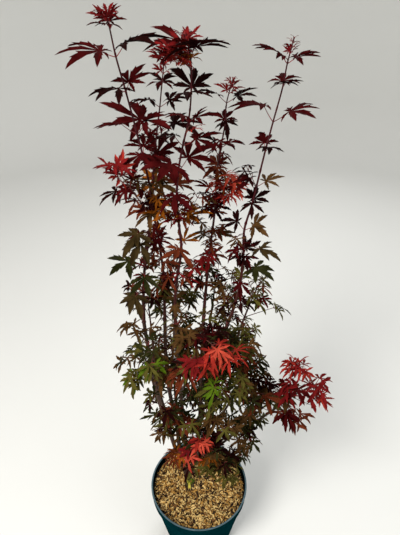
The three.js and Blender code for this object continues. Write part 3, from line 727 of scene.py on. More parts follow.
def make_piece(name, points, faces, material, slot, nodes=(), uv=None, crease=None):
    """A finished mesh object: its place is in its mesh, it rides on the root and stands for nodes."""
    mesh = bpy.data.meshes.new(name)
    corners = np.concatenate([group.ravel() for group in faces]).astype(np.int32)
    sizes = np.concatenate([np.full(len(group), group.shape[1]) for group in faces])
    starts = np.concatenate([[0], np.cumsum(sizes)[:-1]]).astype(np.int32)
    mesh.vertices.add(len(points))
    mesh.vertices.foreach_set("co", np.asarray(points, np.float32).ravel())
    mesh.loops.add(len(corners))
    mesh.loops.foreach_set("vertex_index", corners)
    mesh.polygons.add(len(sizes))
    mesh.polygons.foreach_set("loop_start", starts)
    if uv is not None:
        mesh.uv_layers.new(name="Surface").uv.foreach_set("vector", uv.astype(np.float32).ravel())
    mesh.update(calc_edges=True)
    mesh.validate()
    mesh.shade_smooth()
    if crease is not None:
        mesh.set_sharp_from_angle(angle=math.radians(crease))
    mesh.materials.append(material)
    piece = bpy.data.objects.new(name, mesh)
    bpy.context.scene.collection.objects.link(piece)
    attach(piece, "root")
    if nodes:
        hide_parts(*nodes)
    return piece


def make_tubes(name, paths, radii, sides, relief, material, slot, nodes):
    """A piece of round tubes, none of which reaches into the bark mix."""
    points, faces, uv = tubes(paths, radii, sides, relief)
    points[:, 2] = np.maximum(points[:, 2], (MIX_TOP + GAP) * MM)
    make_piece(name, points, faces, material, slot, nodes, uv)


class Number:
    """A shader socket that carries a number, with the sums that the materials here are made of."""

    def __init__(self, paint, socket):
        self.paint = paint
        self.socket = socket

    def sum(self, operation, a, b):
        """The result of a Math node."""
        return self.paint.node("ShaderNodeMath", {"operation": operation}, {0: a, 1: b})

    def __add__(self, other):
        return self.sum("ADD", self, other)

    def __sub__(self, other):
        return self.sum("SUBTRACT", self, other)

    def __rsub__(self, other):
        return self.sum("SUBTRACT", other, self)

    def __mul__(self, other):
        return self.sum("MULTIPLY", self, other)

    def __pow__(self, other):
        return self.sum("POWER", self, other)

    def __abs__(self):
        return self.sum("ABSOLUTE", self, 0)

    __radd__ = __add__
    __rmul__ = __mul__


class Paint:
    """A material under construction: one Principled shader and the nodes that feed it."""

    def __init__(self, name):
        self.material = bpy.data.materials.new(name)
        self.material.use_nodes = True
        self.tree = self.material.node_tree
        self.shader = self.tree.nodes["Principled BSDF"]

    def node(self, kind, settings=None, sockets=None, output=0):
        """Adds a node, sets its settings first and then its sockets, and returns one output."""
        made = self.tree.nodes.new(kind)
        for name, value in (settings or {}).items():
            setattr(made, name, value)
        for name, value in (sockets or {}).items():
            self.feed(made.inputs[name], value)
        return Number(self, made.outputs[output])

    def feed(self, socket, value):
        """Links a socket to a value, or sets it to a constant."""
        if isinstance(value, Number):
            self.tree.links.new(value.socket, socket)
        elif isinstance(value, tuple) and len(value) == 3 and socket.type == "RGBA":
            socket.default_value = (*value, 1)
        else:
            socket.default_value = value

    def finish(self, **sockets):
        """Feeds the shader's sockets, named with _ for a space, and returns the material."""
        for name, value in sockets.items():
            self.feed(self.shader.inputs[name.replace("_", " ")], value)
        return self.material

    def place(self, source="Object", scale=(1, 1, 1)):
        """Coordinates on the piece, stretched along each axis."""
        read = self.node("ShaderNodeTexCoord", output=source)
        return self.node("ShaderNodeMapping", None, {"Vector": read, "Scale": scale})

    def part(self, place, axis):
        """One number of a place: 0 is x, 1 is y and 2 is the height."""
        return self.node("ShaderNodeSeparateXYZ", None, {0: place}, axis)

    def noise(self, place, scale, detail):
        """Soft cloudy variation from 0 to 1, its patches one metre over the scale across."""
        return self.node("ShaderNodeTexNoise", None, {
            "Vector": place, "Scale": scale, "Detail": detail, "Roughness": 0.55,
        })

    def cells(self, place, scale):
        """The distance from the middle of rounded cells, one metre over the scale across."""
        return self.node("ShaderNodeTexVoronoi", None, {"Vector": place, "Scale": scale}, "Distance")

    def mix(self, factor, a, b):
        """One colour for a factor of 0 and another for 1."""
        return self.node("ShaderNodeMix", {"data_type": "RGBA"}, {0: factor, 6: a, 7: b}, 2)

    def span(self, value, low=0.3, high=0.7, to_low=0.0, to_high=1.0):
        """A value from low to high, which is the middle of a noise unless said otherwise, carried
        over to another span and kept inside it."""
        return self.node("ShaderNodeMapRange", None, {0: value, 1: low, 2: high, 3: to_low, 4: to_high})

    def patchy(self, value, color, dark, pale, low=0.3, high=0.7):
        """A colour that is darker where a value is low and paler where it is high."""
        return self.mix(self.span(value, low, high), shade(color, dark), shade(color, pale))

    def bump(self, height, strength, distance):
        """A normal that tilts as if the surface had this relief."""
        return self.node("ShaderNodeBump", None, {
            "Height": height, "Strength": strength, "Distance": distance,
        })


def shade(color, factor):
    """A colour made darker or lighter."""
    return tuple(min(channel * factor, 1.0) for channel in color)


def leaf_paint(name, color, gloss):
    """A thin leaf: its tint darker and paler in patches, fine veins and hardly any gloss."""
    paint = Paint(name)
    patches = paint.noise(paint.place(), 45, 2)
    veins = paint.noise(paint.place(scale=(1, 1, 0.4)), 900, 2)
    return paint.finish(
        Base_Color=paint.patchy(patches, color, 0.6, 1.45),
        Roughness=paint.span(patches, to_low=0.4, to_high=0.56),
        Normal=paint.bump(veins, strength=0.25, distance=0.0004),
        Specular_IOR_Level=gloss,
        IOR=1.15,
    )


def bark_paint(name, low, high, lowest, highest, lit_streak=None):
    """Young bark: one colour at a lower height and another higher up, streaks and lenticels.

    A painted highlight may be given as a place (x, height where it forks) and a colour: a narrow
    upright band of paler green bark, lit where light falls on the trunk's front, whose two
    branches part above that height.
    """
    paint = Paint(name)
    streaks = paint.noise(paint.place("UV", (12, 60, 1)), 1.6, 4)
    fine = paint.noise(paint.place("UV", (40, 900, 1)), 1.0, 3)
    lenticels = paint.span(paint.cells(paint.place("UV", (14, 260, 1)), 1.0), 0.16, 0.05)
    place = paint.place()
    height = paint.part(place, 2)
    climb = paint.span(height + (streaks - 0.5) * 0.12, lowest, highest)
    plain = paint.mix(climb, low, high)
    darker = paint.mix(climb, shade(low, 0.35), shade(high, 0.35))
    skin = paint.mix(paint.span(streaks, 0.42, 0.62), darker, plain)
    # Painted highlight: a narrow sunlit band of pale green bark up the trunk's front, forked above, ending
    # higher up where the foliage shades the trunk
    if lit_streak is not None:
        middle, fork, pale = lit_streak
        parting = paint.span(height, fork, fork + 0.03, to_high=0.011)
        aside = abs(abs(paint.part(place, 0) - middle) - parting) + (streaks - 0.5) * 0.004
        band = paint.span(aside, 0.005, 0.0025) * paint.span(height, fork + 0.022, fork + 0.008)
        skin = paint.mix(band, skin, pale)
    return paint.finish(
        Base_Color=paint.mix(lenticels * 0.6, skin, LENTICEL_COLOR),
        Roughness=paint.span(fine, to_low=0.5, to_high=0.78),
        Normal=paint.bump(streaks * 0.6 + fine * 0.25 + lenticels * 0.3, strength=0.6, distance=0.0009),
        Specular_IOR_Level=0.12,
    )


def stalk_paint(name, color):
    """A thin smooth stalk, redder in some places than in others."""
    paint = Paint(name)
    place = paint.place()
    return paint.finish(
        Base_Color=paint.patchy(paint.noise(place, 30, 2), color, 0.5, 1.4, 0.35, 0.65),
        Roughness=0.5,
        Normal=paint.bump(paint.noise(place, 1500, 2), strength=0.2, distance=0.0002),
        Specular_IOR_Level=0.12,
    )


def pot_paint(name, sizes, band_bottom, lip_bottom, inside):
    """Moulded plastic: flow marks, dust that settled low, splashes, a paler lip that is partly worn and
    partly a painted highlight, a painted shadow below the band, and painted shade on the wall
    inside, which is nearer to the axis than the radius named inside."""
    color = tuple(sizes.color)
    paint = Paint(name)
    place = paint.place()
    x, y, height = (paint.part(place, axis) for axis in range(3))
    clouds = paint.noise(place, 14, 5)
    flow = paint.noise(paint.place(scale=(1, 1, 0.08)), 60, 3)
    grain = paint.noise(place, 2600, 2)
    splashes = paint.span(paint.cells(place, 90), 0.09, 0.03) * paint.span(clouds, 0.5, 0.6)
    dust = paint.span(height + clouds * 0.06, 0.11, 0.0) * 0.16
    wall = paint.patchy(clouds, color, 0.75, 1.25, 0.3, 0.75)
    shadow_line = paint.span(height, band_bottom - 0.006, band_bottom)
    body = paint.mix(shadow_line * 0.35, wall, shade(color, 0.6))
    dusty = paint.mix(dust + splashes * 0.5, body, DUST_COLOR)
    # Paler lip top: partly wear in patches, partly a painted highlight on the upper face where light falls
    wear_and_highlight = paint.span(height, lip_bottom + 0.003, lip_bottom + 0.0046) * paint.span(flow, 0.25, 0.6, 0.6)
    worn = paint.mix(wear_and_highlight, dusty, tuple(sizes.lip_wear_and_highlight_color))
    # Painted shade: the inside of the pot's wall above the mix, darkened where shade falls in the pot
    within = paint.span((x**2 + y**2) ** 0.5, inside + 0.0006, inside + 0.0002)
    painted_inner_shade = within * paint.span(height, band_bottom, band_bottom + 0.001)
    return paint.finish(
        Base_Color=paint.mix(painted_inner_shade, worn, shade(color, 0.15)),
        Roughness=paint.span(clouds, to_low=0.34, to_high=0.5) + dust * 0.4,
        Normal=paint.bump(grain * 0.03 + flow * 0.4, strength=0.35, distance=0.0006),
        Specular_IOR_Level=0.0,
    )


def chip_paint(name, color):
    """A chip of bark: fibres along it, a darker skin in patches and a dry rough face."""
    paint = Paint(name)
    fibres = paint.noise(paint.place(scale=(1, 1, 3)), 420, 4)
    patches = paint.noise(paint.place(), 120, 2)
    lit = paint.patchy(fibres, color, 0.55, 1.25, 0.35, 0.65)
    return paint.finish(
        Base_Color=paint.mix(paint.span(patches, 0.5, 0.72), lit, shade(color, 0.4)),
        Roughness=paint.span(fibres, to_low=0.75, to_high=0.95),
        Normal=paint.bump(fibres, strength=0.8, distance=0.0008),
        Specular_IOR_Level=0.15,
    )


def floor_paint(name, color):
    """A pale matt floor with the faintest cloudiness."""
    paint = Paint(name)
    clouds = paint.noise(paint.place(), 1.2, 2)
    return paint.finish(Base_Color=paint.mix(clouds, shade(color, 0.98), shade(color, 1.02)), Roughness=0.9)


def lobe_width(along):
    """Half the width of a lobe as a share of its widest: a sine that is widest in the middle."""
    return np.sin(np.pi * along**LOBE_SKEW) ** LOBE_POINT


def lobe_template(cut):
    """The points of one lobe as (along, aside in widths): its rib, then its left and right margins.

    Each margin runs from tooth to valley: a tooth reaches past the width and a little ahead of the
    valley after it, as on a saw.
    """
    rib = [(step, 0.0) for step in cut.ribs]
    margin = []
    for step in cut.ribs[1:-1]:
        margin.append((step + TOOTH_AHEAD, TOOTH_OUT * lobe_width(step)))
        margin.append((step, VALLEY_IN * lobe_width(step)))
    margin.append((cut.last_tooth, TOOTH_OUT * lobe_width(cut.last_tooth)))
    right = [(along, -aside) for along, aside in margin]
    return np.array(rib + margin + right)


def leaf_faces(cut):
    """The triangles of a leaf: in each half lobe one at the foot, three at each tooth, two at the tip.

    Point 0 is the middle, then come the notches between lobes, then each lobe's own points.
    """
    faces = []
    lobes, ribs = len(cut.angles), len(cut.ribs)
    teeth = ribs - 2
    edge = 2 * teeth + 1
    for lobe in range(lobes):
        base = lobes + 2 + lobe * (ribs + 2 * edge)
        rib = range(base, base + ribs)
        for way, notch in ((1, 2 + lobe), (-1, 1 + lobe)):
            first = base + ribs + (0 if way > 0 else edge)
            margin = [notch, *range(first, first + edge)]
            half = [(0, rib[0], notch)]
            for i in range(teeth):
                valley, tooth, next_valley = margin[2 * i:2 * i + 3]
                half += [
                    (rib[i], rib[i + 1], next_valley), (rib[i], next_valley, tooth), (rib[i], tooth, valley),
                ]
            half += [(rib[-2], rib[-1], margin[-1]), (rib[-2], margin[-1], margin[-2])]
            faces += half if way > 0 else [face[::-1] for face in half]
    return np.array(faces)


def leaves(rows, cut, seed):
    """Many palmate leaves of one cut at once, as (points, faces).

    A lobe's rib is an arc that rises from the blade's foot and then bends down: at a share s along
    it, it is out by (sin rise - sin(rise - bend s)) / bend and up by (cos(rise - bend s) - cos rise)
    / bend. Its margins lie aside of the rib by the template's widths and are lifted a little, so
    that the lobe is folded along its rib. It is turned by its angle round the blade's foot, and
    angle, length, bend, fold and sideways sweep all vary from lobe to lobe.
    """
    random = np.random.default_rng(seed)
    foot, axis, normal = (np.array([row[k] for row in rows]) for k in range(3))
    lobe, width, rise, bend = (np.array([row[k] for row in rows])[:, None, None] for k in range(3, 7))
    count, lobes = len(rows), len(cut.angles)
    shape = (count, lobes, 1)
    along, aside = lobe_template(cut).T
    at_margin = np.abs(aside) > 0
    aside = aside * width * random.uniform(1 - VARY.width, 1 + VARY.width, (count, 1, 1))
    angle = np.radians(np.array(cut.angles))[None, :, None] + random.normal(0, VARY.angle, shape)
    length = lobe * np.array(cut.lengths)[None, :, None] * random.normal(1, VARY.length, shape)
    curve = bend * random.normal(1, VARY.bend, shape) + LEAST_BEND
    lift = random.normal(LOBE_LIFT, VARY.lift, shape)
    sweep = random.normal(0, VARY.sweep, shape)
    wave = random.normal(0, VARY.wave, (count, lobes, len(along))) * at_margin
    pitch = rise + random.normal(0, VARY.rise, shape) - curve * along
    out = (np.sin(rise) - np.sin(pitch)) / curve
    up = (np.cos(pitch) - np.cos(rise)) / curve + (lift + wave) * np.abs(aside)
    across = aside + sweep * along**2
    x = length * (out * np.cos(angle) - across * np.sin(angle))
    y = length * (out * np.sin(angle) + across * np.cos(angle))

    between = [(a + b) / 2 for a, b in zip(cut.angles, cut.angles[1:])]
    notch_angle = np.radians([-HEEL_ANGLE, *between, HEEL_ANGLE])
    notch = lobe[:, 0] * np.array([HEEL] + [NOTCH] * (lobes - 1) + [HEEL])
    local = np.concatenate([
        np.zeros((count, 1, 3)),
        np.stack([notch * np.cos(notch_angle), notch * np.sin(notch_angle), notch * NOTCH_RISE], axis=-1),
        np.stack([x, y, length * up], axis=-1).reshape(count, -1, 3),
    ], axis=1)
    points = foot[:, None] + local @ np.stack([axis, np.cross(normal, axis), normal], axis=1)
    return points.reshape(-1, 3), [repeated(leaf_faces(cut), count, points.shape[1])]


class Growth:
    """The rule of growth and what it has made so far: paths of twigs and stalks, rows of leaves."""

    def __init__(self):
        self.twigs = []
        self.stalks = []
        self.leaves = defaultdict(list)
        self.strays = Stream(STRAY_SEED)

    def leaf(self, root, direction, kind, stream, tint, size=1.0, strays=True):
        """A stalk along a direction, then a blade that flattens, droops and rolls a little.

        A blade tilts the more, the more it points to the front or the back. An earthy tint may
        stray to another one of its place.
        """
        droop = math.radians(kind.droop + stream.spread(DROOP_SPREAD))
        roll = math.radians(stream.spread(ROLL_SPREAD) * kind.roll)
        foot = root + direction * kind.petiole * size * MM
        flat = Vector((direction.x, direction.y, 0))
        outward = flat.normalized() if flat.length > NEARLY_UPRIGHT else Vector((1, 0, 0))
        axis = (outward * math.cos(droop) - UP * math.sin(droop)).normalized()
        normal = Quaternion(axis, roll) @ (UP - axis * axis.z).normalized()
        across_light = min(1.0, abs(direction.y) / FULL_TILT_FROM)
        tilt = math.radians(kind.tilt) * (LEAST_TILT + (1 - LEAST_TILT) * across_light)
        towards_light = Quaternion((1, 0, 0), tilt)
        axis, normal = towards_light @ axis, towards_light @ normal
        if strays and tint in EARTHY_TINTS and self.strays.share() < STRAY_SHARE:
            tint = self.strays.deal(weights_at(foot))
        shape = (kind.lobe * size * MM, kind.width, kind.rise, kind.bend)
        self.leaves[tint, kind.fine].append((foot, axis, normal, *shape))
        bow = (root + foot) / 2 - UP * kind.petiole * size * MM * STALK_SAG
        self.stalks.append(arc(root, bow, foot, STALK_POINTS))

    def pair(self, root, tangent, side, kind, stream, tint, size=1.0, strays=True):
        """Two leaves that stand opposite each other at an angle to their twig."""
        for way in (1, -1):
            lean = math.radians(LEAF_LEAN + stream.spread(LEAN_SPREAD))
            direction = forked(tangent, side * way, math.cos(lean), math.sin(lean))
            self.leaf(root, direction, kind, stream, tint, size, strays)

    def twig(self, root, direction, length, radius, stream):
        """A twig that bows a little towards the light; returns its points and its last direction."""
        finish = root + (direction + UP * TWIG_RISE).normalized() * length
        sway = Vector([stream.spread(amount) for amount in TWIG_SWAY]) * length
        path = arc(root, root + direction * length * 0.5 + sway, finish, TWIG_POINTS)
        self.twigs.append((path, taper(radius, radius * TWIG_TAPER, TWIG_POINTS)))
        return path, direction_at(path, -2)

    def spray(self, root, direction, length, kind, stream, tint, inside, forks, fullness=1.0):
        """A leafy twig: pairs of leaves along it, each a quarter turn from the last, and a tip of
        three leaves. While forks are left, shorter sprays stand in the axils of its pairs. A
        fullness below one leaves out some pairs and most forks."""
        radius = FORKED_TWIG_RADIUS if forks else LAST_TWIG_RADIUS
        path, forward = self.twig(root, direction, length, radius, stream)
        level, raised = square_to(forward)
        steps = max(1, round(length / (PAIR_STEP * kind.lobe * MM)))
        quarter = stream.share() * math.pi
        last = TWIG_POINTS - 1
        small = SMALL_LEAF._replace(droop=kind.droop)
        for step in range(steps):
            share = (step + FIRST_PAIR) / (steps + BARE_TIP)
            joint = Vector(path[min(int(share * last + 0.5), last)])
            side = around(level, raised, quarter + step * math.pi / 2)
            if inside(joint) and stream.share() < LEAST_PAIRS + (1 - LEAST_PAIRS) * fullness:
                self.pair(joint, forward, side, kind, stream, tint, stream.above(*PAIR_SIZE))
            for way in (1, -1) if forks else ():
                if stream.share() < FORK_SHARE * fullness:
                    branch = forked(forward, side * way, *FORK_WAY)
                    reach = length * stream.above(*FORK_LENGTH)
                    self.spray(joint, branch, reach, small, stream, tint, inside, forks - 1, fullness)
        tip = Vector(path[-1])
        if inside(tip) and stream.share() < TIP_SHARE + fullness:
            self.pair(tip, forward, around(raised, level, quarter), kind, stream, tint, TIP_PAIR_SIZE)
            self.leaf(tip, forward, kind, stream, tint, TIP_LEAF_SIZE)


def kind_at(height):
    """The kind of leaf that a tall shoot has at a height in metres."""
    if height > TOP_LEAVES_ABOVE * MM:
        return TOP_LEAF
    return TALL_LEAF if height > MIDDLE_LEAVES_BELOW * MM else MIDDLE_LEAF


def weights_at(point):
    """The weights of the tints at a point: its autumn place if it is in one, or else its height."""
    for middle, reach, weights in AUTUMN_PLACES:
        if (point - Vector(middle) * MM).length < reach * MM:
            return weights
    return next(weights for lowest, weights in HEIGHT_TINTS if point.z > lowest * MM)


def point_at_height(path, height):
    """The point on a rising path at a height."""
    index = max(1, int(np.argmax(path[:, 2] >= height)))
    a, b = path[index - 1], path[index]
    return a + (b - a) * (height - a[2]) / (b[2] - a[2])


class Skeleton:
    """The middle lines of all limbs and stems in metres, worked out once from the tables above."""

    def __init__(self):
        rises = [MIX_TOP + GAP + rise for rise in TRUNK_RISE]
        trunk = [[x, y, z] for (x, y), z in zip(TRUNK_PATH, rises)]
        self.limbs = {"trunk": curve_through(trunk, TRUNK_POINTS) * MM}
        self.shoots = {}
        for shoot in SHOOTS:
            name, parent = shoot["name"], self.limbs[shoot["parent"]]
            top = shoot["from"] is None
            foot = parent[-1] if top else point_at_height(parent, shoot["from"] * MM)
            way = [foot / MM, *shoot["leader"], *shoot["joints"][:2]]
            share = (len(way) - 2) / (len(way) - 1)
            self.limbs["leader_" + name] = curve_through(way, LEADER_POINTS, share) * MM
            self.shoots[name] = curve_through(shoot["joints"], SHOOT_POINTS) * MM
        self.stems = {}
        for name, centre, radius, parent, height in LOW_MASSES:
            self.add_bough(name, Vector(centre) * MM, radius * MM, self.limbs[parent], height * MM)

    def add_bough(self, name, middle, radius, parent, height):
        """A bough curves out and up to its mass, and a stem goes on from its tip past the middle."""
        foot = Vector(point_at_height(parent, height))
        direction = (middle - foot).normalized()
        tip = middle - direction * radius * LOW_STEM_START
        bend = foot.lerp(tip, BOUGH_BEND)
        bend.z = foot.z + (tip.z - foot.z) * BOUGH_BEND_RISE
        self.limbs["bough_" + name] = arc(foot, bend, tip, BOUGH_POINTS)
        forward = (tip - bend).normalized()
        finish = middle + (middle - tip).normalized() * radius * LOW_STEM_END
        turn = tip + forward * (finish - tip).length * LOW_STEM_BEND
        self.stems[name] = arc(tip, turn, finish, STEM_POINTS)


def wood_relief(strength, foot_flare=0.0):
    """Relief of young bark: shallow ridges that wander round, rings at old leaf scars, and a lobed
    flare at the foot that dies away in fifteen millimetres."""
    def relief(length, angle):
        ridges = 0.5 * np.sin(5 * angle + 18 * length) + 0.35 * np.sin(9 * angle - 33 * length + 1.7)
        ripples = 0.3 * np.sin(260 * length + 2 * np.sin(3 * angle)) + 0.25 * np.sin(610 * length + angle)
        scars = np.exp(-((np.mod(length, SCAR_STEP) - SCAR_PLACE) / SCAR_WIDTH) ** 2)
        flare = foot_flare * np.exp(-length / FLARE_HEIGHT) * (0.5 + 0.5 * np.cos(4 * angle + 0.6))
        return 1 + strength * (ridges + ripples) + strength * SCAR_STRENGTH * scars + flare
    return relief


def joint_relief(count):
    """Relief of a young shoot: it swells where its leaves stand, at evenly counted joints."""
    def relief(length, angle):
        share = length / length[:, -1:] * (count - 1)
        swell = np.exp(-((share - np.round(share)) / JOINT_WIDTH) ** 2)
        return 1 + JOINT_SWELL * swell + 0.03 * np.sin(4 * angle + 60 * length)
    return relief


class PotSizes(PropertyGroup):
    """Sizes of the pot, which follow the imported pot, and its colours."""

    lip_radius: FloatProperty(
        name="Lip radius", description="Outer radius of the lip", default=0.146, unit="LENGTH")
    band_radius: FloatProperty(
        name="Band radius", description="Outer radius of the band below the lip", default=0.1435,
        unit="LENGTH")
    body_radius: FloatProperty(
        name="Body radius", description="Outer radius just below the band", default=0.1395, unit="LENGTH")
    foot_radius: FloatProperty(
        name="Foot radius", description="Outer radius at the floor", default=0.105, unit="LENGTH")
    wall: FloatProperty(name="Wall", description="Thickness of the wall", default=0.0026, unit="LENGTH")
    band_height: FloatProperty(
        name="Band height", description="Height of the band with the lip", default=0.034, unit="LENGTH")
    sides: IntProperty(name="Sides", description="Steps round the pot", default=144, min=24, max=256)
    color: FloatVectorProperty(
        name="Plastic", description="Colour of the pot", default=(0.0008, 0.022, 0.027), subtype="COLOR")
    # Colour of the paler lip: partly wear, partly a painted highlight
    lip_wear_and_highlight_color: FloatVectorProperty(
        name="Lip", description="Colour of the worn lip", default=(0.075, 0.115, 0.135), subtype="COLOR")


class MixSizes(PropertyGroup):
    """Sizes of the bark mix."""

    top: FloatProperty(
        name="Top", description="Height of the mix in the middle", default=MIX_TOP * MM, unit="LENGTH")
    chips: IntProperty(name="Chips", description="Number of bark chips", default=7800, min=0, max=9000)
    chip_length: FloatProperty(
        name="Chip length", description="Length of a middling chip", default=0.0085, unit="LENGTH")
    seed: IntProperty(name="Seed", description="Start of the repeatable scatter", default=7, min=0)


class LeafSizes(PropertyGroup):
    """Amount of foliage and the stalks' thickness."""

    low_forks: IntProperty(
        name="Forks", description="How often a low spray forks again", default=1, min=0, max=2)
    stalk_radius: FloatProperty(
        name="Stalk radius", description="Radius of a leaf stalk", default=0.00065, unit="LENGTH")
    stalk_color: FloatVectorProperty(
        name="Stalk", description="Colour of the stalks", default=(0.16, 0.022, 0.022), subtype="COLOR")
    seed: IntProperty(name="Seed", description="Start of the repeatable leaf shapes", default=21, min=0)


class StageSizes(PropertyGroup):
    """Place of the camera, the room and the lights."""

    camera_height: FloatProperty(
        name="Camera height", description="Height of the camera", default=1.543, unit="LENGTH")
    camera_distance: FloatProperty(
        name="Camera distance", description="Level distance in front of the pot's middle",
        default=0.806, unit="LENGTH")
    camera_aside: FloatProperty(
        name="Camera aside", description="How far right the camera stands", default=0.003, unit="LENGTH")
    camera_pitch: FloatProperty(
        name="Camera pitch", description="How far the camera looks down", default=math.radians(32.8),
        subtype="ANGLE")
    lens: FloatProperty(name="Lens", description="Focal length in millimetres", default=30.28)
    room_radius: FloatProperty(
        name="Room radius", description="Radius of the pale floor", default=3.6, unit="LENGTH")
    floor_color: FloatVectorProperty(
        name="Floor", description="Colour of floor and backdrop", default=(0.69, 0.695, 0.68),
        subtype="COLOR")


def settings(group):
    """The sizes of one group, as the scene holds them."""
    return getattr(bpy.context.scene, "maple_" + group)


def nodes_named(prefix):
    """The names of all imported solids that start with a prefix."""
    return sorted(name for name in frame["nodes"] if name.startswith(prefix))


def plain_object(name, points, faces):
    """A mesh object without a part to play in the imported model."""
    mesh = bpy.data.meshes.new(name)
    mesh.from_pydata(points.tolist(), [], listed(faces))
    piece = bpy.data.objects.new(name, mesh)
    bpy.context.scene.collection.objects.link(piece)
    return piece


class MAPLE_OT_stage(Operator):
    """Lay the pale floor and backdrop, and set the lights and the camera"""

    bl_idname = "maple.stage"
    bl_label = "Stage"

    def execute(self, context):
        scene, sizes = context.scene, settings("stage")
        edge = sizes.room_radius
        angles = np.linspace(0, np.pi / 2, ROOM_STEPS)
        sweep = [(edge + ROOM_BEND * math.sin(a), ROOM_BEND * (1 - math.cos(a))) for a in angles]
        profile = [(0, 0), *sweep, (edge + ROOM_BEND, ROOM_HEIGHT), (0, ROOM_HEIGHT)]
        points, faces = lathe(profile, ROOM_SIDES)
        room = plain_object("room", points, faces[:2])
        room.data.shade_smooth()
        room.data.materials.append(floor_paint("pale_floor", tuple(sizes.floor_color)))
        for light in LIGHTS:
            self.light(*light)
        world = bpy.data.worlds.new("studio")
        world.use_nodes = True
        background = world.node_tree.nodes["Background"]
        background.inputs["Color"].default_value = WORLD_COLOR
        background.inputs["Strength"].default_value = WORLD_STRENGTH
        scene.world = world
        scene.view_settings.view_transform = "Standard"
        camera = bpy.data.objects.new("camera", bpy.data.cameras.new("camera"))
        camera.data.lens = sizes.lens
        camera.data.sensor_width = SENSOR_WIDTH
        camera.location = (sizes.camera_aside, -sizes.camera_distance, sizes.camera_height)
        camera.rotation_euler = (math.pi / 2 - sizes.camera_pitch, 0, 0)
        scene.collection.objects.link(camera)
        scene.camera = camera
        return {"FINISHED"}

    def light(self, name, place, size, power, color):
        """A square soft light that faces the middle of the plant."""
        lamp = bpy.data.lights.new(name, "AREA")
        lamp.size = size
        lamp.energy = power
        lamp.color = color
        piece = bpy.data.objects.new(name, lamp)
        piece.location = place
        piece.rotation_euler = (Vector(LIT_MIDDLE) - Vector(place)).to_track_quat("-Z", "Y").to_euler()
        bpy.context.scene.collection.objects.link(piece)


class MAPLE_OT_pot(Operator):
    """Turn the pot with its lip, band and rounded edges, and drill its drain holes"""

    bl_idname = "maple.pot"
    bl_label = "Pot"

    def execute(self, context):
        sizes = settings("pot")
        low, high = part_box("pot")
        height = high.z - low.z
        band_bottom = height - sizes.band_height
        lip_bottom = height - LIP_HEIGHT
        lip, body, foot, wall = sizes.lip_radius, sizes.body_radius, sizes.foot_radius, sizes.wall
        inside = sizes.band_radius - wall
        profile = [
            (0, 0),
            (foot - 0.004, 0),
            *self.rounded(foot - FOOT_EDGE, FOOT_EDGE, FOOT_EDGE, -90, -8),
            (body - 0.0006, band_bottom - 0.004),
            (body, band_bottom - 0.0008),
            *self.rounded(sizes.band_radius - BAND_EDGE, band_bottom + BAND_EDGE, BAND_EDGE, -90, 0),
            (sizes.band_radius, lip_bottom - LIP_EDGE),
            *self.rounded(lip - LIP_EDGE, lip_bottom + LIP_EDGE, LIP_EDGE, -90, 0),
            *self.rounded(lip - LIP_EDGE, height - LIP_EDGE, LIP_EDGE, 0, 90),
            *self.rounded(lip - 0.0035, height - LIP_EDGE, LIP_EDGE, 90, 180),
            (inside, lip_bottom - 0.001),
            (inside, band_bottom + 0.001),
            (body - wall, band_bottom - 0.005),
            (foot - wall, FLOOR + 0.001),
            (foot - wall - 0.002, FLOOR),
            (0, FLOOR),
        ]
        points, faces = lathe(profile, sizes.sides)
        paint = pot_paint("pot_plastic", sizes, band_bottom, lip_bottom, inside)
        piece = make_piece("pot_shell", points, faces, paint, "pot_plastic", ["pot"], crease=POT_CREASE)
        self.drill(piece)
        return {"FINISHED"}

    def rounded(self, radius, height, fillet, start, end):
        """Points on an arc of the profile round a centre, from one angle to another in degrees."""
        angles = np.radians(np.linspace(start, end, EDGE_STEPS))
        return [(radius + fillet * math.cos(a), height + fillet * math.sin(a)) for a in angles]

    def drill(self, piece):
        """Cuts the drain holes out of the floor with one boolean after another, each applied."""
        profile = [(0, -0.01), (DRAIN_RADIUS, -0.01), (DRAIN_RADIUS, 0.02), (0, 0.02)]
        points, faces = lathe(profile, DRAIN_SIDES)
        for hole in range(DRAIN_HOLES):
            middle = heading(hole * 2 * math.pi / DRAIN_HOLES) * DRAIN_REACH
            cutter = plain_object("cutter", points + np.array(middle), faces)
            cut = piece.modifiers.new("drain", "BOOLEAN")
            cut.object = cutter
            cut.operation = "DIFFERENCE"
            cut.solver = "EXACT"
            bpy.context.view_layer.update()
            drilled = piece.evaluated_get(bpy.context.evaluated_depsgraph_get())
            cleared = bpy.data.meshes.new_from_object(drilled)
            piece.modifiers.clear()
            old = piece.data
            piece.data = cleared
            bpy.data.meshes.remove(old)
            bpy.data.objects.remove(cutter)
        piece.data.name = piece.name
        piece.data.set_sharp_from_angle(angle=math.radians(POT_CREASE))


def edge_drop(radius, edge):
    """How far the mix lies lower at a radius: it slopes down along the last of the way to its edge."""
    return EDGE_DROP * np.clip((radius - (edge - EDGE_SLOPE)) / EDGE_SLOPE, 0, 1)


def rotated(a, b, angle):
    """Two coordinates of each chip's points, turned by the chip's angle."""
    cosine, sine = np.cos(angle)[:, None], np.sin(angle)[:, None]
    return a * cosine - b * sine, a * sine + b * cosine


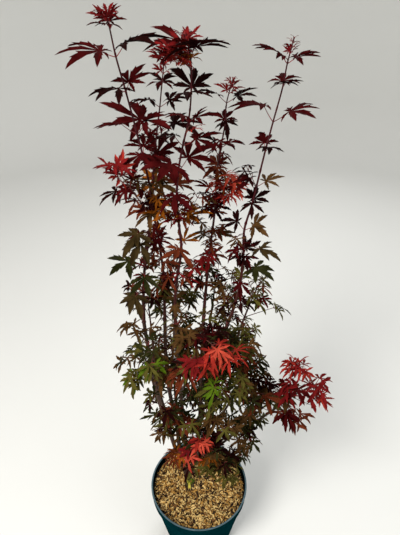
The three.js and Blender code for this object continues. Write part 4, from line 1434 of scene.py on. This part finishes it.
class MAPLE_OT_mix(Operator):
    """Fill the pot with a bed of bark mix and scatter bark chips on it"""

    bl_idname = "maple.mix"
    bl_label = "Bark mix"

    def execute(self, context):
        sizes, pot = settings("mix"), settings("pot")
        edge = pot.band_radius - pot.wall - MIX_PLAY
        self.bed(sizes, pot, edge)
        points, faces = self.chips(sizes, edge)
        shares = [share for _, share in CHIP_TINTS.values()]
        tint_of = np.random.default_rng(sizes.seed + 1).choice(len(shares), sizes.chips, p=shares)
        for index, (name, (color, _)) in enumerate(CHIP_TINTS.items()):
            kept = points[tint_of == index]
            kept_faces = [repeated(faces, len(kept), kept.shape[1])]
            make_piece(name, kept.reshape(-1, 3), kept_faces, chip_paint(name, color), "bark_chips",
                       crease=CHIP_CREASE)
        return {"FINISHED"}

    def bed(self, sizes, pot, edge):
        """The bed under the chips: a filled round body whose top is a grid of rings, raised and
        lowered by crossed sine waves, lower at the edge."""
        sides, rings = 120, 44
        radius = np.linspace(BED_FIRST_RING, edge, rings)[::-1][:, None]
        angle = 2 * np.pi * np.arange(sides)[None] / sides
        x, y = radius * np.cos(angle), radius * np.sin(angle)
        waves = np.sin(310 * x + 90 * y) * np.sin(270 * y - 60 * x) + 0.6 * np.sin(700 * x) * np.sin(640 * y)
        middle = sizes.top - BED_BELOW
        top = middle - edge_drop(radius, edge) + BED_WAVES * waves
        below = [
            np.stack([r * np.cos(angle), r * np.sin(angle), z + 0 * angle], axis=-1)
            for r, z in (
                (pot.foot_radius - pot.wall - BED_PLAY, BED_FOOT),
                (pot.body_radius - pot.wall - BED_PLAY, BED_SHOULDER),
            )
        ]
        grid = np.concatenate([*below, np.stack([x, y, top], axis=-1)]).reshape(-1, 3)
        points = np.vstack([grid, [[0, 0, BED_FOOT], [0, 0, middle]]])
        faces = ring_faces(rings + len(below), sides)
        # The bed's near-black colour is painted shade, seen in the gaps between the chips
        make_piece("mix_bed", points, faces, chip_paint("mix_bed", BED_COLOR), "bark_chips", ["bark_mix"])

    def chips(self, sizes, edge):
        """All chips as (chip, point, 3) and the faces of one.

        A chip is a six-sided slab with pointed ends, each of its points moved a little. It is
        turned at random, tilted a little, and laid on the bed or on the chips below.
        """
        random = np.random.default_rng(sizes.seed)
        count, corners = sizes.chips, len(CHIP_OUTLINE)
        outline = np.array(CHIP_OUTLINE)
        upper = np.column_stack([outline * CHIP_UPPER, np.full(corners, 0.5)])
        lower = np.column_stack([outline, np.full(corners, -0.5)])
        shape = np.vstack([upper, lower])[None] + random.normal(0, CHIP_JITTER, (count, 2 * corners, 3))
        length = sizes.chip_length * np.exp(random.normal(0, CHIP_SPREAD, count))
        width = length * random.uniform(*CHIP_WIDTHS, count)
        thick = np.clip(length * random.uniform(*CHIP_DEPTHS, count), *CHIP_DEPTH_LIMITS)
        shape = shape * np.stack([length, width, thick], axis=-1)[:, None]
        yaw = random.uniform(0, 2 * np.pi, count)
        tilt = random.normal(0, CHIP_TILT, count)
        lean = random.normal(0, CHIP_LEAN, count)
        x, z = rotated(shape[..., 0], shape[..., 2], tilt)
        y, z = rotated(shape[..., 1], z, lean)
        x, y = rotated(x, y, yaw)
        reach = (edge - length * 0.5 - CHIP_PLAY) * np.sqrt(random.uniform(0, 1, count))
        place = random.uniform(0, 2 * np.pi, count)
        centre_x, centre_y = reach * np.cos(place), reach * np.sin(place)
        trunk_x, trunk_y = np.array(TRUNK_PATH[0]) * MM
        close = np.hypot(centre_x - trunk_x, centre_y - trunk_y) < TRUNK_CLEARANCE
        centre_x = np.where(close, centre_x + MOVED_ASIDE, centre_x)
        bed = sizes.top - CHIP_BELOW - edge_drop(reach, edge)
        level = bed + thick * 0.4 + random.uniform(0, CHIP_PILE, count)
        points = np.stack([centre_x[:, None] + x, centre_y[:, None] + y, level[:, None] + z], axis=-1)
        faces = [(0, i, i + 1) for i in range(1, corners - 1)]
        faces += [(corners, corners + i + 1, corners + i) for i in range(1, corners - 1)]
        for i in range(corners):
            ahead = (i + 1) % corners
            faces += [(i, corners + i, corners + ahead), (i, corners + ahead, ahead)]
        return points, np.array(faces)


class MAPLE_OT_wood(Operator):
    """Give the trunk, the leaders and the boughs their bark"""

    bl_idname = "maple.wood"
    bl_label = "Wood"

    def execute(self, context):
        limbs = Skeleton().limbs
        # The old bark carries the painted highlight on the trunk's front
        bark = bark_paint("old_bark", OLD_BARK, YOUNG_BARK, 0.24, 0.30, (*LIT_STREAK_PLACE, LIT_GREEN_BARK))
        along = np.linspace(0, 1, len(TRUNK_RADII))
        radii = np.interp(np.linspace(0, 1, TRUNK_POINTS), along, np.array(TRUNK_RADII) * MM)
        relief = wood_relief(TRUNK_RELIEF, TRUNK_FLARE)
        make_tubes("trunk_bark", [limbs["trunk"]], radii, SIDES["trunk"], relief, bark, "bark", ["trunk"])
        relief = wood_relief(LIMB_RELIEF)
        leaders = nodes_named("leader_")
        radii = taper(*LEADER_RADII, LEADER_POINTS, LEADER_TAPER) * MM
        paths = [limbs[name] for name in leaders]
        make_tubes("leader_bark", paths, radii, SIDES["leader"], relief, bark, "bark", leaders)
        boughs = nodes_named("bough_")
        bark = bark_paint("bough_bark", LOW_BOUGH_BARK, HIGH_BOUGH_BARK, 0.4, 0.9)
        radii = taper(*BOUGH_RADII, BOUGH_POINTS) * MM
        paths = [limbs[name] for name in boughs]
        make_tubes("bough_bark", paths, radii, SIDES["bough"], relief, bark, "bark", boughs)
        return {"FINISHED"}


class MAPLE_OT_foliage(Operator):
    """Grow the shoots, the twigs and every leaf, and join each kind to one piece"""

    bl_idname = "maple.foliage"
    bl_label = "Foliage"

    def execute(self, context):
        sizes = settings("leaves")
        self.skeleton = Skeleton()
        self.growth = Growth()
        self.detail = Stream(sizes.seed)
        for index, shoot in enumerate(SHOOTS):
            self.tall_shoot(shoot, Stream(SHOOT_SEED + index))
        for index, row in enumerate(LOW_MASSES):
            self.low_mass(row, Stream(MASS_SEED + index), sizes.low_forks)
        for row in YOUNG_SPRAYS:
            self.young_spray(*row)
        self.foot_leaves()
        self.make_wood(sizes)
        self.make_leaves(sizes)
        return {"FINISHED"}

    def tall_shoot(self, shoot, stream):
        """Pairs of leaves at the joints as on the solids, small sprays in the lower axils, and a
        crowded crown of young leaves at the top."""
        joints = [Vector(joint) * MM for joint in shoot["joints"]]
        last = len(joints) - 1

        def everywhere(point):
            return True

        if "side" in shoot:
            self.side_shoot(shoot, joints, stream)
        for k in range(1, len(joints)):
            joint = joints[k]
            tangent = (joints[min(k + 1, last)] - joints[k - 1]).normalized()
            side = heading(math.radians(shoot["headings"][k - 1] + stream.spread(HEADING_SPREAD)))
            side = (side - tangent * side.dot(tangent)).normalized()
            kind, weights = kind_at(joint.z), weights_at(joint)
            if k < last:
                size = shoot["lobes"][k - 1] / kind.lobe
                self.growth.pair(joint, tangent, side, kind, stream, self.detail.deal(weights), size)
            if joint.z < AXILS_BELOW:
                share = LOW_AXILS if joint.z < MOST_AXILS_BELOW else HIGH_AXILS
                for way in (1, -1):
                    if self.detail.share() < share:
                        branch = forked(tangent, side * way, *AXIL_WAY)
                        length = self.detail.above(*AXIL_LENGTH)
                        tint = self.detail.deal(weights)
                        self.growth.spray(joint, branch, length, SMALL_LEAF, self.detail, tint, everywhere, 0)
        self.crown(joints[-2], joints[-1], *shoot["crown"])

    def crown(self, below, top, tint, growth):
        """Young leaves crowd at the end of a shoot, smaller and steeper towards its tip."""
        forward = (top - below).normalized()
        level, raised = square_to(forward)
        for step, (kind, size) in enumerate(CROWN_PAIRS):
            root = below.lerp(top, CROWN_START + CROWN_STEP * step)
            side = around(level, raised, step * math.pi / 2 + CROWN_TURN)
            self.growth.pair(root, forward, side, kind, self.detail, tint, size * growth)

    def side_shoot(self, shoot, joints, stream):
        """A thin shoot that leaves the stem at one of its joints and ends in a red spray."""
        points = [joints[shoot["side"]["joint"]], *(Vector(p) * MM for p in shoot["side"]["points"])]
        path = curve_through(points, (TWIG_POINTS - 1) * SPARSE + 1)
        self.growth.twigs.append((path[::SPARSE], taper(*SIDE_SHOOT_RADII, TWIG_POINTS)))
        last = len(points) - 1
        for k in range(1, len(points)):
            tip = points[k]
            tangent = (tip - points[k - 1]).normalized()
            level, raised = square_to(tangent)
            side, across = (level, raised) if k % 2 else (raised, level)
            tint = "crimson" if k == last else "maroon"
            self.growth.pair(tip, tangent, side, MIDDLE_LEAF, stream, tint, SIDE_LEAF_SIZE)
        self.growth.leaf(tip, tangent, MIDDLE_LEAF, stream, tint, SIDE_LEAF_SIZE)
        before = tip - tangent * SIDE_CROWN_BELOW
        for joint, way, red, size in (
            (tip, across, "crimson", 0.9), (before, across, "scarlet", 1.2), (before, side, "crimson", 0.9),
        ):
            self.growth.pair(joint, tangent, way, CROWN_LEAF, self.detail, red, size)

    def low_mass(self, row, stream, forks):
        """Two pairs of leafy twigs fork from the stem as on the solids, with shorter sprays between
        them and three leaves at the end."""
        name, centre, radius, _, _ = row
        middle, reach = Vector(centre) * MM, radius * MM
        stem = self.skeleton.stems[name]
        fullness = FULLNESS.get(name, USUAL_FULLNESS)
        gaps = [(Vector(place) * MM, size * MM) for place, size in OPEN_PLACES]

        def inside(point):
            in_mass = (point - middle).length < reach
            return in_mass and all((point - place).length > size for place, size in gaps)

        kind, growth = LOW_LEAF, TWIG_GROWTH
        if name in OPEN_MASSES:
            kind, growth, forks = OPEN_LEAF, 1.0, 0
        steps = [(step, length * growth, turn, False) for step, length, turn in LOW_TWIGS]
        steps += [(step, EXTRA_TWIG_LENGTH, 90 * k, True) for k, step in enumerate(EXTRA_TWIG_STEPS)]
        for step, length, turn, extra in steps:
            index = int(step * (STEM_POINTS - 1))
            root = Vector(stem[index])
            forward = direction_at(stem, index)
            angle = math.radians(turn + stream.spread(LOW_TURN_SPREAD))
            side = around(*square_to(forward), angle)
            for way in (1, -1):
                direction = forked(forward, side * way, *LOW_TWIG_WAY)
                tint = stream.deal(weights_at(root + direction * length * reach))
                size = reach * (length + stream.spread(LOW_LENGTH_SPREAD))
                if not extra or stream.share() < fullness:
                    self.growth.spray(root, direction, size, kind, stream, tint, inside, forks, fullness)
        tip = Vector(stem[-1])
        forward = direction_at(stem, -2)
        level, _ = square_to(forward)
        tint = stream.deal(weights_at(tip))
        self.growth.pair(tip, forward, level, kind, stream, tint)
        self.growth.leaf(tip, forward, kind, stream, tint)

    def young_spray(self, origin, place, tints, pairs, kind):
        """A twig from a stem to a named place, with pairs of young leaves crowded at its end."""
        stem = {**self.skeleton.stems, **self.skeleton.shoots}[origin]
        tip = Vector(place) * MM
        start = np.array(tip - UP * YOUNG_START_BELOW)
        nearest = int(np.argmin(np.linalg.norm(stem - start, axis=1)))
        root = Vector(stem[min(nearest, len(stem) - 2)])
        path = arc(root, root.lerp(tip, 0.5) + UP * YOUNG_BOW, tip, TWIG_POINTS)
        self.growth.twigs.append((path, taper(*YOUNG_TWIG_RADII, TWIG_POINTS)))
        forward = direction_at(path, -2)
        level, raised = square_to(forward)
        for step in range(pairs):
            below = pairs - 1 - step
            joint = Vector(path[-1]) - forward * YOUNG_PAIR_STEP * below
            side = around(level, raised, step * math.pi / 2 + YOUNG_TURN)
            tint, size = tints[below % len(tints)], self.detail.above(*PAIR_SIZE)
            self.growth.pair(joint, forward, side, kind, self.detail, tint, size, strays=False)
        self.growth.leaf(tip, forward, kind, self.detail, tints[0], strays=False)

    def foot_leaves(self):
        """A tiny shoot with pale leaves low on the trunk."""
        root = Vector(self.skeleton.limbs["trunk"][TRUNK_POINTS // 2])
        way = Vector(FOOT_SHOOT_WAY).normalized()
        path, forward = self.growth.twig(root, way, FOOT_SHOOT_LENGTH, LAST_TWIG_RADIUS, self.detail)
        for side, size in zip(square_to(forward), FOOT_LEAF_SIZES):
            self.growth.pair(Vector(path[-1]), forward, side, BUD_LEAF, self.detail, "fresh_green", size)

    def make_wood(self, sizes):
        """The tall shoots as a piece each, and the stems of the low masses, the twigs and the stalks
        as one joined piece each."""
        tall_nodes = ["foliage_" + shoot["name"] for shoot in SHOOTS]
        low_nodes = ["foliage_" + row[0] for row in LOW_MASSES]
        all_nodes = low_nodes + tall_nodes
        bark = bark_paint("shoot_bark", LOW_SHOOT_BARK, HIGH_SHOOT_BARK, 0.85, 1.15)
        radii = taper(*SHOOT_RADII, SHOOT_POINTS, SHOOT_TAPER) * MM
        for shoot, node in zip(SHOOTS, tall_nodes):
            name, relief = shoot["name"], joint_relief(len(shoot["joints"]))
            paths = [self.skeleton.shoots[name]]
            make_tubes("shoot_" + name, paths, radii, SIDES["shoot"], relief, bark, "maroon_leaves", [node])
        paths = [self.skeleton.stems[row[0]][::SPARSE] for row in LOW_MASSES]
        radii = taper(*STEM_RADII, len(paths[0])) * MM
        relief = wood_relief(LIMB_RELIEF)
        make_tubes("low_stems", paths, radii, SIDES["stem"], relief, bark, "bronze_leaves", low_nodes)
        paths, radii = zip(*self.growth.twigs)
        bark = stalk_paint("twig_bark", TWIG_BARK)
        make_tubes("twigs", paths, radii, SIDES["twig"], None, bark, "bronze_leaves", all_nodes)
        thick, thin = sizes.stalk_radius * 1.25, sizes.stalk_radius * 0.85
        radii = taper(thick, thin, STALK_POINTS)
        paint = stalk_paint("stalk", tuple(sizes.stalk_color))
        paths = self.growth.stalks
        make_tubes("stalks", paths, radii, SIDES["stalk"], None, paint, "maroon_leaves", all_nodes)

    def make_leaves(self, sizes):
        """One joined piece of leaves for each tint."""
        nodes = nodes_named("foliage_")
        for index, (tint, (color, gloss, slot)) in enumerate(TINTS.items()):
            parts = []
            for fine, cut in ((True, FINE_CUT), (False, PLAIN_CUT)):
                rows = self.growth.leaves[tint, fine]
                if rows:
                    parts.append(leaves(rows, cut, sizes.seed + 2 * index + fine))
            paint = leaf_paint("leaf_" + tint, color, gloss)
            make_piece("leaves_" + tint, *joined(parts), paint, slot, nodes, crease=LEAF_CREASE)


class MAPLE_PT_panel(Panel):
    """Everything that builds the potted maple, in order"""

    bl_label = "Potted Maple"
    bl_idname = "MAPLE_PT_panel"
    bl_space_type = "VIEW_3D"
    bl_region_type = "UI"
    bl_category = "Maple"

    def draw(self, context):
        for operator in OPERATORS:
            self.layout.operator(operator.bl_idname)
        for name in GROUPS:
            box = self.layout.box()
            group = getattr(context.scene, "maple_" + name)
            for prop in group.__annotations__:
                box.prop(group, prop)


GROUPS = {"pot": PotSizes, "mix": MixSizes, "leaves": LeafSizes, "stage": StageSizes}
OPERATORS = (MAPLE_OT_stage, MAPLE_OT_pot, MAPLE_OT_mix, MAPLE_OT_wood, MAPLE_OT_foliage)


def register():
    """Registers the classes and hangs each group of sizes on the scene."""
    for item in (*GROUPS.values(), *OPERATORS, MAPLE_PT_panel):
        bpy.utils.register_class(item)
    for name, group in GROUPS.items():
        setattr(bpy.types.Scene, "maple_" + name, PointerProperty(type=group))


def unregister():
    """Takes the groups off the scene and unregisters the classes."""
    for name in GROUPS:
        delattr(bpy.types.Scene, "maple_" + name)
    for item in (MAPLE_PT_panel, *reversed(OPERATORS), *reversed(GROUPS.values())):
        bpy.utils.unregister_class(item)


def main():
    register()
    for operator in OPERATORS:
        group, name = operator.bl_idname.split(".")
        getattr(getattr(bpy.ops, group), name)()


if __name__ == "__main__":
    main()
